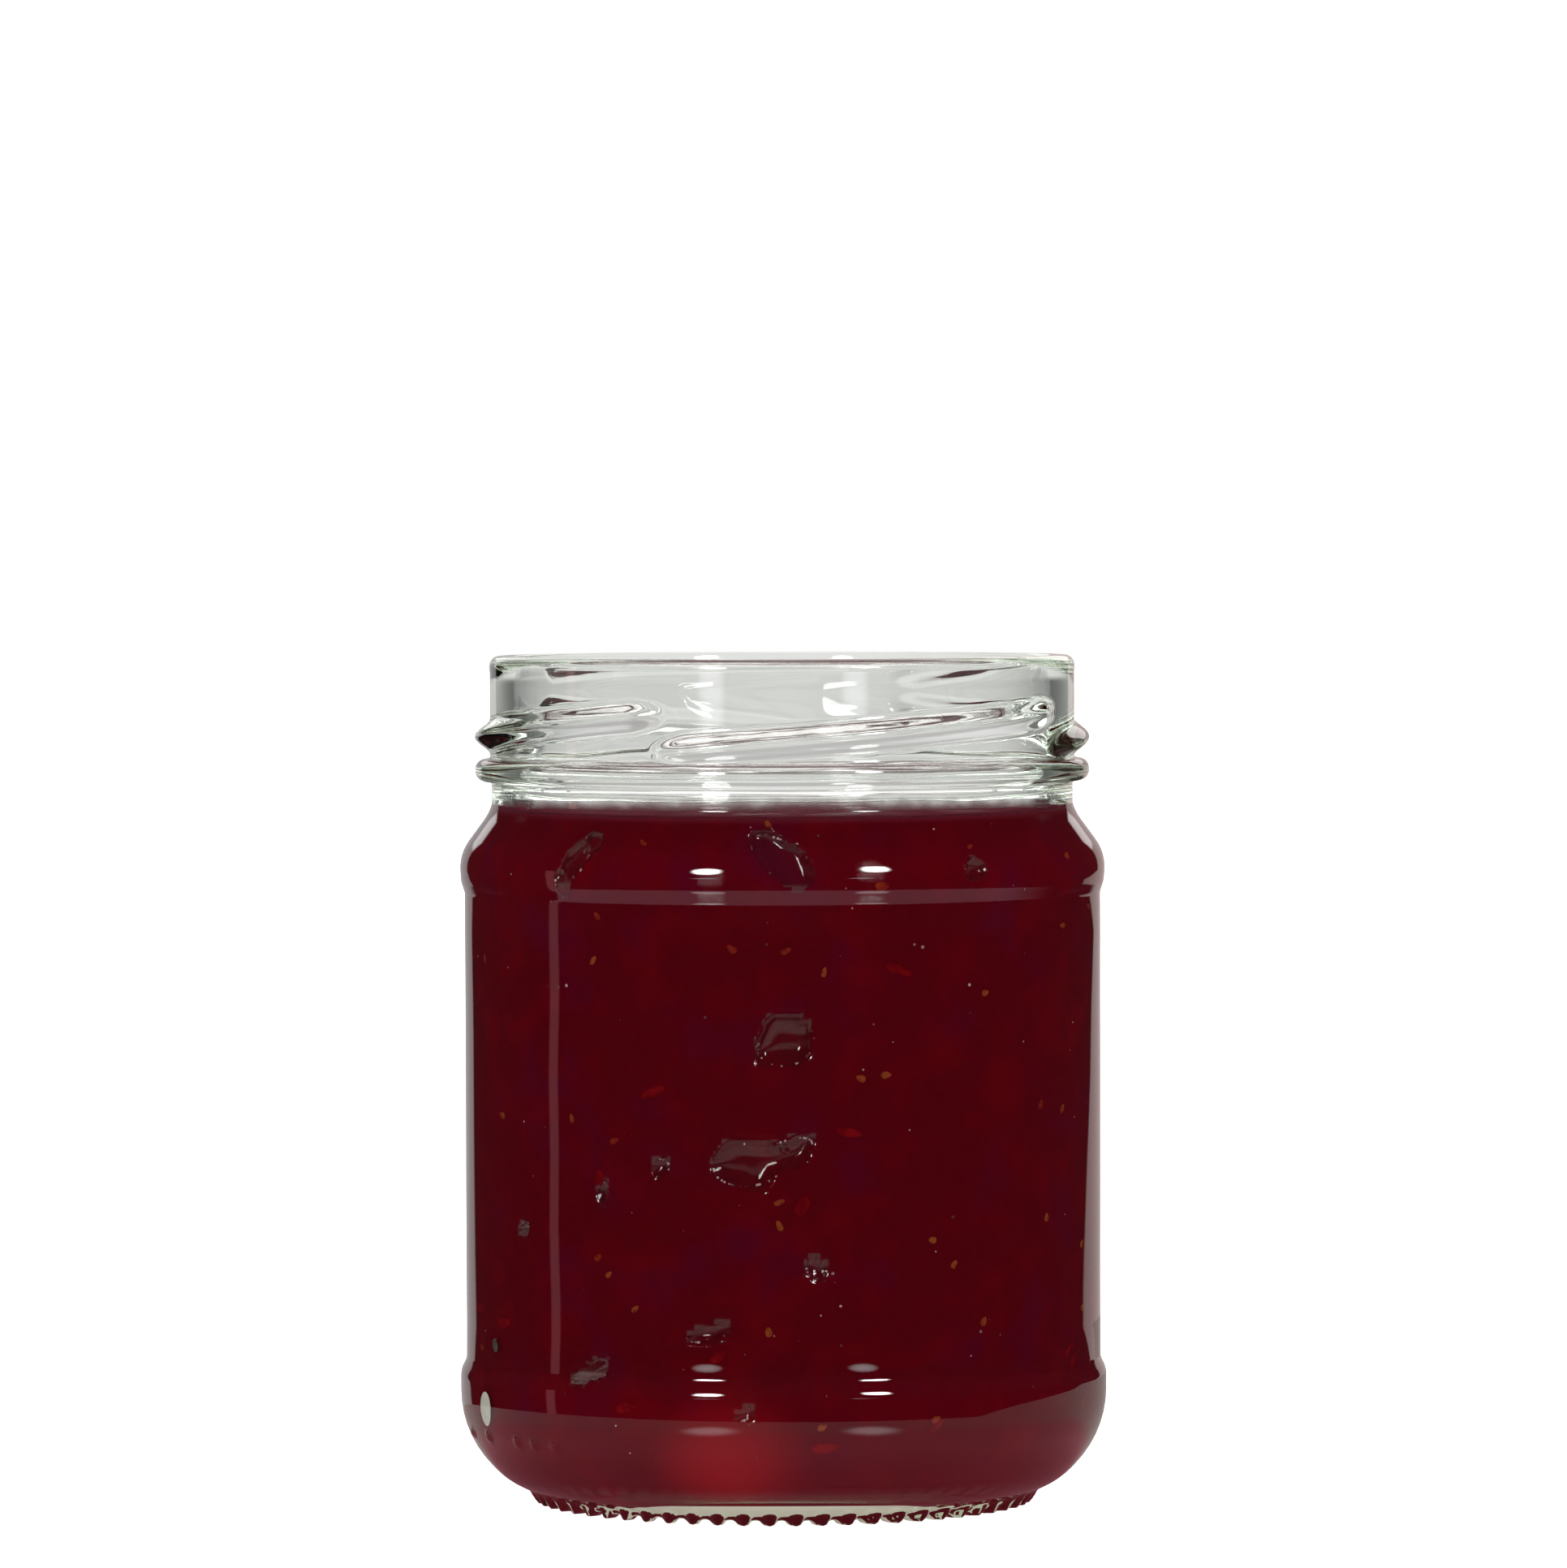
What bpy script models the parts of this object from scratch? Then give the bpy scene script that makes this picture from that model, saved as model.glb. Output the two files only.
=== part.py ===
"""An open twist-off glass jar of jam, without its lid.

The jar is one piece of glass: a four-start twist-off mouth, a round collar under the threads,
a sloping shoulder that swells into a bead, a straight panel, a second bead, a deep rounded heel
and a pushed-up base that stands on a ring of small slanted ribs. The jam is the second solid. It
fills the jar up to its level in the neck.

The jar stands on z = 0 with its axis on Z. The front is the side towards -Y, and angles round the
jar are counted from the front towards +X.
"""

import math

import bmesh
import bpy
from mathutils import Vector

MM = 0.001

# ---- whole jar
SIDES = 48                        # flats round every turned solid
ARC_STEP = math.radians(31)       # the longest turn between two points of a rounded corner
SHARP_EDGE = math.radians(40)     # edges that bend more than this stay crisp
WELD = 0.001 * MM                 # points closer than this are one point
HEIGHT = 89.4 * MM
GAP = 0.3 * MM                    # left between the jam and the glass

# ---- mouth and threads
FINISH_R = 30.9 * MM              # outside of the mouth, without its threads
BORE_R = 28.45 * MM
LIP_ROUND = 1.0 * MM
NECK_R = 30.72 * MM
THREAD_STARTS = 4
THREAD_FIRST = math.radians(-26.3)    # where the front thread begins, at its low end
THREAD_SWEEP = math.radians(93.7)     # neighbouring threads overlap by a few degrees
THREAD_LOW_Z = HEIGHT - 9.7 * MM
THREAD_RISE = 4.0 * MM
THREAD_HALF_HEIGHT = 1.6 * MM
THREAD_DEPTH = 1.65 * MM
THREAD_ROOT = 0.5 * MM            # how far a thread reaches into the wall that it grows from
THREAD_TIP = math.radians(5.0)    # length of each rounded end
THREAD_TIP_SHARES = (0.05, 0.3, 0.65)     # where a rounded end has its cross-sections
THREAD_STATIONS = 13              # cross-sections between the two rounded ends
THREAD_ARC_POINTS = 5             # points over the crest of one cross-section

# ---- collar under the threads
COLLAR_R = 32.47 * MM
COLLAR_Z = 77.35 * MM
COLLAR_HALF_HEIGHT = 1.2 * MM
COLLAR_ROUND = 1.0 * MM

# ---- shoulder, panel and the two beads
NECK_END_Z = 73.45 * MM
NECK_FILLET = 4.0 * MM
SHOULDER_R = 34.19 * MM
SHOULDER_Z = 68.5 * MM
SHOULDER_ROUND = 4.8 * MM
BEAD_FOOT_R = 34.0 * MM
BEAD_FOOT_Z = 65.6 * MM
BEAD_FOOT_ROUND = 2.2 * MM
PANEL_TOP_R = 33.6 * MM
PANEL_TOP_Z = 64.4 * MM
PANEL_R = 33.56 * MM
PANEL_END_Z = 15.2 * MM
PANEL_FILLET = 1.2 * MM
LOWER_BEAD_R = 34.18 * MM
LOWER_BEAD_Z = 13.95 * MM
LOWER_BEAD_ROUND = 2.4 * MM

# ---- heel, foot and base
HEEL_Z = 7.35 * MM
HEEL_ROUND = 11.2 * MM
HEEL_TURN_R = 29.55 * MM
HEEL_TURN_Z = 2.55 * MM
HEEL_TURN_ROUND = 8.0 * MM
FOOT_OUTER_R = 26.1 * MM
FOOT_OUTER_Z = 1.0 * MM
FOOT_R = 25.2 * MM                # middle of the ring that the jar stands on
FOOT_HALF_WIDTH = 0.9 * MM
FOOT_Z = 0.5 * MM                 # the ring's own height, between its ribs
PUSH_UP_R = 22.0 * MM
PUSH_UP_START_Z = 1.0 * MM
PUSH_UP_MIDDLE_R = 11.0 * MM
PUSH_UP_MIDDLE_Z = 2.2 * MM
PUSH_UP_Z = 2.5 * MM

# ---- ribs under the foot
RIBS = 60
RIB_FIRST = math.radians(2.3)
RIB_SLANT = math.radians(20)      # a rib's outer end leans towards +X at the front
RIB_LENGTH = 2.2 * MM             # of its flat underside
RIB_WIDTH = 1.15 * MM
RIB_TOP_LENGTH = 4.2 * MM         # where it grows out of the foot
RIB_TOP_WIDTH = 1.75 * MM
RIB_TOP_Z = 1.05 * MM
RIB_SIDES = 6

# ---- inside of the jar
WALL_R = 31.3 * MM                # inside of the panel
INNER_NECK_Z = 73.0 * MM
INNER_NECK_FILLET = 5.0 * MM
INNER_SHOULDER_Z = 68.0 * MM
INNER_SHOULDER_ROUND = 7.0 * MM
INNER_HEEL_Z = 4.2 * MM
INNER_HEEL_ROUND = 6.5 * MM
INNER_DOME_R = 23.0 * MM
INNER_DOME_Z = 4.5 * MM
INNER_BOTTOM_Z = 6.8 * MM         # the domed bottom's top, on the axis

# ---- jam
JAM_LEVEL = 73.2 * MM


def rounded_outline(corners):
    """Points of an outline given by its corners (radius, height, rounding)."""
    points = [Vector(corners[0][:2])]
    for before, corner, after in zip(corners, corners[1:], corners[2:]):
        here = Vector(corner[:2])
        back = (Vector(before[:2]) - here).normalized()
        ahead = (Vector(after[:2]) - here).normalized()
        turn = math.pi - back.angle(ahead)
        rounding = corner[2]
        if rounding == 0:
            points.append(here)
            continue
        start = here + back * rounding * math.tan(turn / 2)
        centre = here + (back + ahead).normalized() * rounding / math.cos(turn / 2)
        steps = max(1, math.ceil(turn / ARC_STEP))
        spoke = start - centre
        side = -1 if back.x * ahead.y - back.y * ahead.x > 0 else 1
        for step in range(steps + 1):
            angle = side * turn * step / steps
            points.append(centre + Vector((
                spoke.x * math.cos(angle) - spoke.y * math.sin(angle),
                spoke.x * math.sin(angle) + spoke.y * math.cos(angle))))
    points.append(Vector(corners[-1][:2]))
    return points


def around(radius, angle, height):
    """A point at an angle counted from the front towards +X."""
    return Vector((radius * math.sin(angle), -radius * math.cos(angle), height))


def glass_material():
    material = bpy.data.materials.new("clear_glass")
    material.use_nodes = True
    shader = material.node_tree.nodes["Principled BSDF"]
    shader.inputs["Base Color"].default_value = (0.82, 0.88, 0.84, 1)
    shader.inputs["Roughness"].default_value = 0.02
    shader.inputs["Metallic"].default_value = 0
    shader.inputs["Transmission Weight"].default_value = 1
    shader.inputs["IOR"].default_value = 1.52
    return material


def jam_material():
    material = bpy.data.materials.new("dark_red_jam")
    material.use_nodes = True
    shader = material.node_tree.nodes["Principled BSDF"]
    shader.inputs["Base Color"].default_value = (0.062, 0.001, 0.003, 1)
    shader.inputs["Roughness"].default_value = 0.15
    shader.inputs["Metallic"].default_value = 0
    return material


def object_from(work, name, material):
    """Turn a bmesh into a smooth-shaded object with outward faces."""
    bmesh.ops.recalc_face_normals(work, faces=work.faces)
    mesh = bpy.data.meshes.new(name)
    work.to_mesh(mesh)
    work.free()
    mesh.shade_smooth()
    mesh.set_sharp_from_angle(angle=SHARP_EDGE)
    mesh.materials.append(material)
    made = bpy.data.objects.new(name, mesh)
    bpy.context.scene.collection.objects.link(made)
    return made


def turned(name, outline, material):
    """Spin an outline that starts and ends on the axis into a closed solid."""
    work = bmesh.new()
    points = [work.verts.new((point.x, 0, point.y)) for point in outline]
    edges = [work.edges.new(pair) for pair in zip(points, points[1:])]
    bmesh.ops.spin(
        work, geom=points + edges, cent=(0, 0, 0), axis=(0, 0, 1),
        angle=math.tau, steps=SIDES, use_merge=True)
    bmesh.ops.remove_doubles(work, verts=work.verts, dist=WELD)
    return object_from(work, name, material)


def loft(work, sections):
    """Join closed rings of points into a capped body."""
    rings = [[work.verts.new(point) for point in section] for section in sections]
    for ring, following in zip(rings, rings[1:]):
        for index in range(len(ring)):
            after = (index + 1) % len(ring)
            work.faces.new((ring[index], ring[after], following[after], following[index]))
    work.faces.new(list(reversed(rings[0])))
    work.faces.new(rings[-1])


def outside_corners():
    """The jar's outside from the lip down to the axis."""
    collar_top = COLLAR_Z + COLLAR_HALF_HEIGHT
    collar_bottom = COLLAR_Z - COLLAR_HALF_HEIGHT
    return [
        (FINISH_R, HEIGHT, LIP_ROUND),
        (FINISH_R, collar_top, 0),
        (COLLAR_R, collar_top, COLLAR_ROUND),
        (COLLAR_R, collar_bottom, COLLAR_ROUND),
        (NECK_R, collar_bottom, 0),
        (NECK_R, NECK_END_Z, NECK_FILLET),
        (SHOULDER_R, SHOULDER_Z, SHOULDER_ROUND),
        (BEAD_FOOT_R, BEAD_FOOT_Z, BEAD_FOOT_ROUND),
        (PANEL_TOP_R, PANEL_TOP_Z, 0),
        (PANEL_R, PANEL_END_Z, PANEL_FILLET),
        (LOWER_BEAD_R, LOWER_BEAD_Z, LOWER_BEAD_ROUND),
        (LOWER_BEAD_R, HEEL_Z, HEEL_ROUND),
        (HEEL_TURN_R, HEEL_TURN_Z, HEEL_TURN_ROUND),
        (FOOT_OUTER_R, FOOT_OUTER_Z, 0),
        (FOOT_R + FOOT_HALF_WIDTH / 2, FOOT_Z, 0),
        (FOOT_R - FOOT_HALF_WIDTH, FOOT_Z, 0),
        (PUSH_UP_R, PUSH_UP_START_Z, 0),
        (PUSH_UP_MIDDLE_R, PUSH_UP_MIDDLE_Z, 0),
        (0, PUSH_UP_Z, 0)]


def inside_corners(inset):
    """The hollow from its bottom on the axis up to the neck, drawn in by an inset."""
    return [
        (0, INNER_BOTTOM_Z + inset, 0),
        (INNER_DOME_R, INNER_DOME_Z + inset, 0),
        (WALL_R - inset, INNER_HEEL_Z + inset, INNER_HEEL_ROUND),
        (WALL_R - inset, INNER_SHOULDER_Z, INNER_SHOULDER_ROUND),
        (BORE_R - inset, INNER_NECK_Z, INNER_NECK_FILLET)]


def thread_bodies():
    """The raised threads: round-backed bars that climb round the mouth."""
    work = bmesh.new()
    tip_share = THREAD_TIP / THREAD_SWEEP
    tip = [tip_share * share for share in THREAD_TIP_SHARES]
    middle_part = [
        tip_share + (1 - 2 * tip_share) * step / (THREAD_STATIONS - 1)
        for step in range(THREAD_STATIONS)]
    shares = tip + middle_part + [1 - share for share in reversed(tip)]
    for start in range(THREAD_STARTS):
        first = THREAD_FIRST + math.tau * start / THREAD_STARTS
        sections = []
        for share in shares:
            to_end = min(share, 1 - share, tip_share) / tip_share
            fullness = math.sqrt(1 - (1 - to_end) ** 2)
            middle = THREAD_LOW_Z + THREAD_RISE * share
            angle = first + THREAD_SWEEP * share
            section = []
            for step in range(THREAD_ARC_POINTS):
                lean = math.pi * (step / (THREAD_ARC_POINTS - 1) - 0.5)
                section.append(around(
                    FINISH_R + THREAD_DEPTH * fullness * math.cos(lean),
                    angle, middle + THREAD_HALF_HEIGHT * fullness * math.sin(lean)))
            for side in (1, -1):
                section.append(around(
                    FINISH_R - THREAD_ROOT, angle, middle + side * THREAD_HALF_HEIGHT * fullness))
            sections.append(section)
        loft(work, sections)
    return object_from(work, "thread_shape", glass_material())


def rib_outline(length, width):
    """A pointed oval, as offsets along and across a rib."""
    return [
        (length / 2 * math.cos(math.tau * step / RIB_SIDES),
         width / 2 * math.sin(math.tau * step / RIB_SIDES) / math.sin(math.pi / 3))
        for step in range(RIB_SIDES)]


def rib_bodies():
    """The slanted ribs that the jar stands on, each with a flat underside at z = 0."""
    work = bmesh.new()
    for index in range(RIBS):
        angle = RIB_FIRST + math.tau * index / RIBS
        outwards = around(1, angle, 0)
        sideways = around(1, angle + math.pi / 2, 0)
        along = outwards * math.cos(RIB_SLANT) + sideways * math.sin(RIB_SLANT)
        across = sideways * math.cos(RIB_SLANT) - outwards * math.sin(RIB_SLANT)
        sections = []
        underside = (0, RIB_LENGTH, RIB_WIDTH)
        root = (RIB_TOP_Z, RIB_TOP_LENGTH, RIB_TOP_WIDTH)
        for height, length, width in (underside, root):
            middle = around(FOOT_R, angle, height)
            sections.append([
                middle + along * reach + across * spread
                for reach, spread in rib_outline(length, width)])
        loft(work, sections)
    return object_from(work, "rib_shape", glass_material())


def join_into(base, tool):
    """Unite a body with another that only serves to shape it."""
    union = base.modifiers.new(tool.name, "BOOLEAN")
    union.operation = "UNION"
    union.solver = "EXACT"
    union.object = tool
    tool.hide_render = True
    tool.display_type = "WIRE"


def build_glass_jar():
    inside = rounded_outline(inside_corners(0) + [(BORE_R, HEIGHT, LIP_ROUND), (FINISH_R, HEIGHT, 0)])
    outside = rounded_outline([(BORE_R, HEIGHT, 0)] + outside_corners())
    outline = inside[:-1] + outside[1:]
    jar = turned("glass_jar", outline, glass_material())
    join_into(jar, thread_bodies())
    join_into(jar, rib_bodies())
    return jar


def build_jam():
    """The jam, cut off level where the neck's wall is at the height of its surface."""
    wall = rounded_outline(inside_corners(GAP) + [(BORE_R - GAP, HEIGHT, 0)])
    below = [point for point in wall if point.y < JAM_LEVEL]
    above = next(point for point in wall if point.y >= JAM_LEVEL)
    last = below[-1]
    share = (JAM_LEVEL - last.y) / (above.y - last.y)
    rim = last.lerp(above, share)
    return turned("jam", below + [rim, Vector((0, JAM_LEVEL))], jam_material())


def main():
    for old in list(bpy.data.objects):
        bpy.data.objects.remove(old, do_unlink=True)
    build_glass_jar()
    build_jam()


main()
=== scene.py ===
# %% [markdown]
# # A twist-off jar of dark red jam
#
# This lesson dresses a finished CAD model: an open glass jar, filled with jam up to its neck.
# Glass looks like glass only when three things are right: its true wall thickness, a smooth
# surface, and something worth reflecting around it. So each step here makes one of these three,
# and the jam behind the glass comes last.
#
# The first cell loads the CAD model as a fixed frame, in metres, with Z up and the jar's front
# towards -Y. The dressed jar has to fit in it.

import math

import bpy
import numpy as np
from mathutils import Matrix, Vector


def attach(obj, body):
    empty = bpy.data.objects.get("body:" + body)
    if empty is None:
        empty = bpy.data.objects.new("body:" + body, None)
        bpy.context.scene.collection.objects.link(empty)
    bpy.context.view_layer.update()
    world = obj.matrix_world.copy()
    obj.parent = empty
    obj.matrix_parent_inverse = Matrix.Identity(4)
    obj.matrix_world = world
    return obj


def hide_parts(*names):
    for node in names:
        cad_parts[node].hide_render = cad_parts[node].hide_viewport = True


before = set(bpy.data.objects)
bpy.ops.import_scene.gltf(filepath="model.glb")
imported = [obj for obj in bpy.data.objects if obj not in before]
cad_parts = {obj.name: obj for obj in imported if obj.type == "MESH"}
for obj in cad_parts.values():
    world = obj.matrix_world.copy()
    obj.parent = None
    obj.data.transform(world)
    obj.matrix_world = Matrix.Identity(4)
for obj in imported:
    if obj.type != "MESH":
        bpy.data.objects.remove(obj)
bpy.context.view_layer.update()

# %% [markdown]
# Jars are measured in millimetres and Blender works in metres, so every size below is written
# as a number of millimetres times MM. Angles round the jar are counted from the front towards
# +X, the way a turntable is read by someone who stands in front of it. Three sums are used all
# through the lesson, on single numbers and on whole arrays alike.

# %% Units, directions and soft steps
MM = 0.001


def around(radius, angle, height):
    """Points at an angle round the jar."""
    return radius * np.sin(angle), -radius * np.cos(angle), height + 0 * angle


def fade_in(value, start, end):
    """0 before start, 1 after end, smooth between them."""
    share = np.clip((value - start) / (end - start), 0, 1)
    return share * share * (3 - 2 * share)


def turned(along, across, angle):
    """Two distances, measured along axes that lean by an angle."""
    c, s = math.cos(angle), math.sin(angle)
    return along * c + across * s, across * c - along * s


random = np.random.default_rng(66)
print("half a turn to the right of the front is", around(1.0, math.pi / 2, 0.0))

# %% [markdown]
# The camera stands about 0.9 m in front of the jar, a little above its rim, with a long lens, as
# for a catalogue picture. A long lens keeps the jar's sides parallel. The jar stands low in the
# frame because the camera looks almost level. A small roll stands for a tripod that wasn't
# quite upright.

# %% Place the camera
CAMERA_PLACE = Vector((0.14, -917.0, 101.2)) * MM
CAMERA_DOWN = math.radians(1.588)
CAMERA_ROLL = math.radians(0.146)
LENS = 199.26
SENSOR = 36.0

camera_data = bpy.data.cameras.new("camera")
camera_data.sensor_fit = "HORIZONTAL"
camera_data.sensor_width = SENSOR
camera_data.lens = LENS
camera_data.clip_start = 0.01
camera = bpy.data.objects.new("camera", camera_data)
bpy.context.scene.collection.objects.link(camera)
tilt = Matrix.Rotation(math.pi / 2 - CAMERA_DOWN, 4, "X")
roll = Matrix.Rotation(-CAMERA_ROLL, 4, "Z")
camera.matrix_world = Matrix.Translation(CAMERA_PLACE) @ tilt @ roll
bpy.context.scene.camera = camera
print("camera at", tuple(CAMERA_PLACE), "with a lens of", LENS, "mm")

# %% [markdown]
# Glass bends each ray many times before it leaves again, so the number of bounces is raised from
# Blender's own limit. The plain view transform keeps the white of the studio white.

# %% Light paths and view
scene = bpy.context.scene
scene.view_settings.view_transform = "Standard"
scene.cycles.max_bounces = 24
scene.cycles.transmission_bounces = 24
scene.cycles.glossy_bounces = 12
scene.cycles.use_denoising = True
print("bounces:", scene.cycles.max_bounces)

# %% [markdown]
# Materials and the world are node trees. A few small helpers keep the next cells readable. The
# first adds a node, the second fills in its inputs, and the rest build the usual sums: a
# calculation, a product, a soft step from 0 to 1, and a blend of two colours.

# %% Node helpers


def add_node(tree, kind, **settings):
    made = tree.nodes.new(kind)
    for key, value in settings.items():
        setattr(made, key, value)
    return made


def plug(socket, value):
    """Link a socket, or set its own number or colour."""
    if isinstance(value, bpy.types.NodeSocket):
        socket.id_data.links.new(value, socket)
    elif socket.type == "RGBA" and len(value) == 3:
        socket.default_value = (*value, 1.0)
    else:
        socket.default_value = value


def fill(node, **inputs):
    """Plug values into inputs by name; an underscore stands for a space."""
    for name, value in inputs.items():
        plug(node.inputs[name.replace("_", " ")], value)
    return node


def calc(tree, operation, *values):
    made = add_node(tree, "ShaderNodeMath", operation=operation)
    for socket, value in zip(made.inputs, values):
        plug(socket, value)
    return made.outputs[0]


def times(tree, product, *values):
    for value in values:
        product = calc(tree, "MULTIPLY", product, value)
    return product


def ease(tree, value, start, end):
    """0 before start, 1 after end, smooth between them."""
    made = add_node(tree, "ShaderNodeMapRange", interpolation_type="SMOOTHSTEP")
    return fill(made, Value=value, From_Min=start, From_Max=end).outputs["Result"]


def blend_colours(tree, share, first, second):
    made = add_node(tree, "ShaderNodeMix", data_type="RGBA")
    return fill(made, Factor=share, A=first, B=second).outputs["Result"]


print("helpers ready")

# %% [markdown]
# A studio for glass is mostly dark, with a white backdrop behind the jar, a pale table below and
# two lamps in front. Lamps could be light objects, but here they are painted on the world, by
# direction: smooth glass then shows them sharp and without noise. The directions are an azimuth,
# counted from the front like the angles round the jar, and an elevation.

# %% Directions in the studio
world = bpy.data.worlds.new("studio")
scene.world = world
world.use_nodes = True
world.cycles.sampling_method = "NONE"
sky = world.node_tree
sky.nodes.clear()

direction = add_node(sky, "ShaderNodeSeparateXYZ")
plug(direction.inputs[0], add_node(sky, "ShaderNodeTexCoord").outputs["Generated"])
backwards = times(sky, direction.outputs["Y"], -1.0)
azimuth = calc(sky, "ARCTAN2", direction.outputs["X"], backwards)
elevation = calc(sky, "ARCSINE", direction.outputs["Z"])
turned_away = calc(sky, "ABSOLUTE", azimuth)
print("world nodes:", len(sky.nodes))

# %% [markdown]
# Each part of the studio is a patch with soft edges: a range of azimuths times a range of
# elevations. What glass mirrors is the white backdrop behind the jar, a brighter stretch of it
# higher up, the table, and a thin gap of light at the far left. The jam tints the light that
# comes up from the table, so these parts have colours and not only a brightness.

# %% What the glass mirrors
EDGE = math.radians(1.2)
UNDER_ALL = -2.0              # lower than straight down
TABLE_BELOW = math.radians(-14.8)
TABLE_LEFT, TABLE_RIGHT = math.radians(-94), math.radians(120)
TABLE_FADES = math.radians(84)
TABLE_COLOUR = (0.70, 0.42, 0.52)
GAP_AZIMUTH = math.radians(-91.0)
GAP_HALF = math.radians(2.2)
GAP_TOP = math.radians(6)
GAP_COLOUR = (0.84, 0.33, 0.37)
DARK_COLOUR = (0.015, 0.013, 0.014)


def patch(azimuths, elevations):
    """1 inside a range of azimuths and elevations, 0 outside."""
    inside = 1.0
    for value, (low, high) in ((azimuth, azimuths), (elevation, elevations)):
        inside = times(sky, inside, ease(sky, value, low - EDGE / 2, low + EDGE / 2),
                       ease(sky, value, high + EDGE / 2, high - EDGE / 2))
    return inside


def add_light(so_far, share, colour):
    """The light so far, plus a share of a colour."""
    made = add_node(sky, "ShaderNodeVectorMath", operation="MULTIPLY_ADD")
    for socket, value in zip(made.inputs, (share, colour, so_far)):
        plug(socket, value)
    return made.outputs["Vector"]


table = patch((TABLE_LEFT, TABLE_RIGHT), (UNDER_ALL, TABLE_BELOW))
table = times(sky, table, ease(sky, azimuth, TABLE_RIGHT, TABLE_FADES))
gap_of_light = patch((GAP_AZIMUTH - GAP_HALF, GAP_AZIMUTH + GAP_HALF), (TABLE_BELOW, GAP_TOP))
mirrored = add_light(DARK_COLOUR, table, TABLE_COLOUR)
mirrored = add_light(mirrored, gap_of_light, GAP_COLOUR)
print("mirrored: table and gap of light")

# %% [markdown]
# The sides of the backdrop lean out towards the floor, the right one more than the left. So
# half its width is an angle that grows as the direction sinks.

# %% The mirrored backdrop
BACKDROP_LEFT_COLOUR = (0.51, 0.50, 0.50)
BACKDROP_RIGHT_COLOUR = (0.60, 0.51, 0.49)
BACKDROP_HIGH_COLOUR = (0.9, 0.9, 0.9)
BACKDROP_HALF = math.radians(26)
BACKDROP_END = math.radians(-9.5)
LEAN_FROM = math.radians(-2.6)
LEAN_MOST = math.radians(2.9)
LEAN_LEFT, LEAN_RIGHT = 1.5, 5.6
HIGH_FROM = math.radians(9)

sunk_angle = calc(sky, "SUBTRACT", LEAN_FROM, elevation)
sunk_angle = calc(sky, "MINIMUM", calc(sky, "MAXIMUM", sunk_angle, 0.0), LEAN_MOST)
on_right = ease(sky, azimuth, -EDGE, EDGE)
on_left = calc(sky, "SUBTRACT", 1.0, on_right)
lean = calc(sky, "MULTIPLY_ADD", on_right, LEAN_RIGHT - LEAN_LEFT, LEAN_LEFT)
from_edge = calc(sky, "MULTIPLY_ADD", lean, sunk_angle, turned_away)
side = math.pi - BACKDROP_HALF
backdrop = times(sky, ease(sky, from_edge, side - EDGE, side + EDGE),
                 ease(sky, elevation, BACKDROP_END - EDGE, BACKDROP_END + EDGE))
high_up = times(sky, backdrop, ease(sky, elevation, HIGH_FROM - EDGE, HIGH_FROM + EDGE))
mirrored = add_light(mirrored, times(sky, backdrop, on_left), BACKDROP_LEFT_COLOUR)
mirrored = add_light(mirrored, times(sky, backdrop, on_right), BACKDROP_RIGHT_COLOUR)
mirrored = add_light(mirrored, high_up, BACKDROP_HIGH_COLOUR)
print("mirrored backdrop is", round(2 * math.degrees(BACKDROP_HALF)), "degrees wide")

# %% [markdown]
# Two soft boxes light the jar from the front. Each is an oblong with rounded corners, which is
# what a superellipse gives: powers of the two distances from its middle add up to one along its
# outline. Below each box hangs a column of spilled light, and the table returns a dim image of
# each. All sizes are an azimuth and an elevation.

# %% The two soft boxes


def in_radians(*degrees):
    return tuple(math.radians(value) for value in degrees)


LAMPS = (in_radians(-27.2, 14.0), in_radians(34.0, 18.0))
LAMP_HALF = in_radians(5.4, 7.0)
LAMP_ROUNDNESS = 2.6
LAMP_FALL_OFF = 2.2
LAMP_COLOUR = (42.0, 42.0, 42.0)
SPILLS = (in_radians(-27.5, -1.0), in_radians(28.5, -1.0))
SPILL_HALF = in_radians(4.5, 0.7)
SPILL_COLOUR = (3.6, 3.6, 3.7)
IMAGES = (in_radians(-27.5, -24.0), in_radians(33.5, -24.0))
IMAGE_HALF = in_radians(6.0, 5.0)
IMAGE_COLOUR = (3.0, 2.6, 2.7)


def oblongs(middles, half_sizes, softness, roundness):
    """1 inside rounded oblongs in the sky, 0 outside."""
    total = 0.0
    for middle in middles:
        reach = 0.0
        for value, centre, half in zip((azimuth, elevation), middle, half_sizes):
            away = calc(sky, "DIVIDE", calc(sky, "SUBTRACT", value, centre), half)
            share = calc(sky, "POWER", calc(sky, "ABSOLUTE", away), roundness)
            reach = calc(sky, "ADD", reach, share)
        spot = ease(sky, reach, 1 + softness, max(0.0, 1 - softness))
        total = calc(sky, "ADD", total, spot)
    return total


lamps = calc(sky, "POWER", oblongs(LAMPS, LAMP_HALF, 0.9, LAMP_ROUNDNESS), LAMP_FALL_OFF)
mirrored = add_light(mirrored, lamps, LAMP_COLOUR)
mirrored = add_light(mirrored, oblongs(SPILLS, SPILL_HALF, 1.0, 2.0), SPILL_COLOUR)
mirrored = add_light(mirrored, oblongs(IMAGES, IMAGE_HALF, 1.0, 4.0), IMAGE_COLOUR)
print("soft boxes:", len(LAMPS))

# %% [markdown]
# What is seen through the glass needs a world of its own. Straight behind the jar the backdrop
# is bright, and it falls off to the sides like a bell, because it is lit in its middle; a little
# higher it is dimmer. Three weaker bells stand at the other sides, just above the horizon, for a
# camera that looks from there. The rest is dark, and in front of the jar, where the room is, it
# is almost black: rays that glass throws back end there, and draw the dark lines of the glass.

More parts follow.
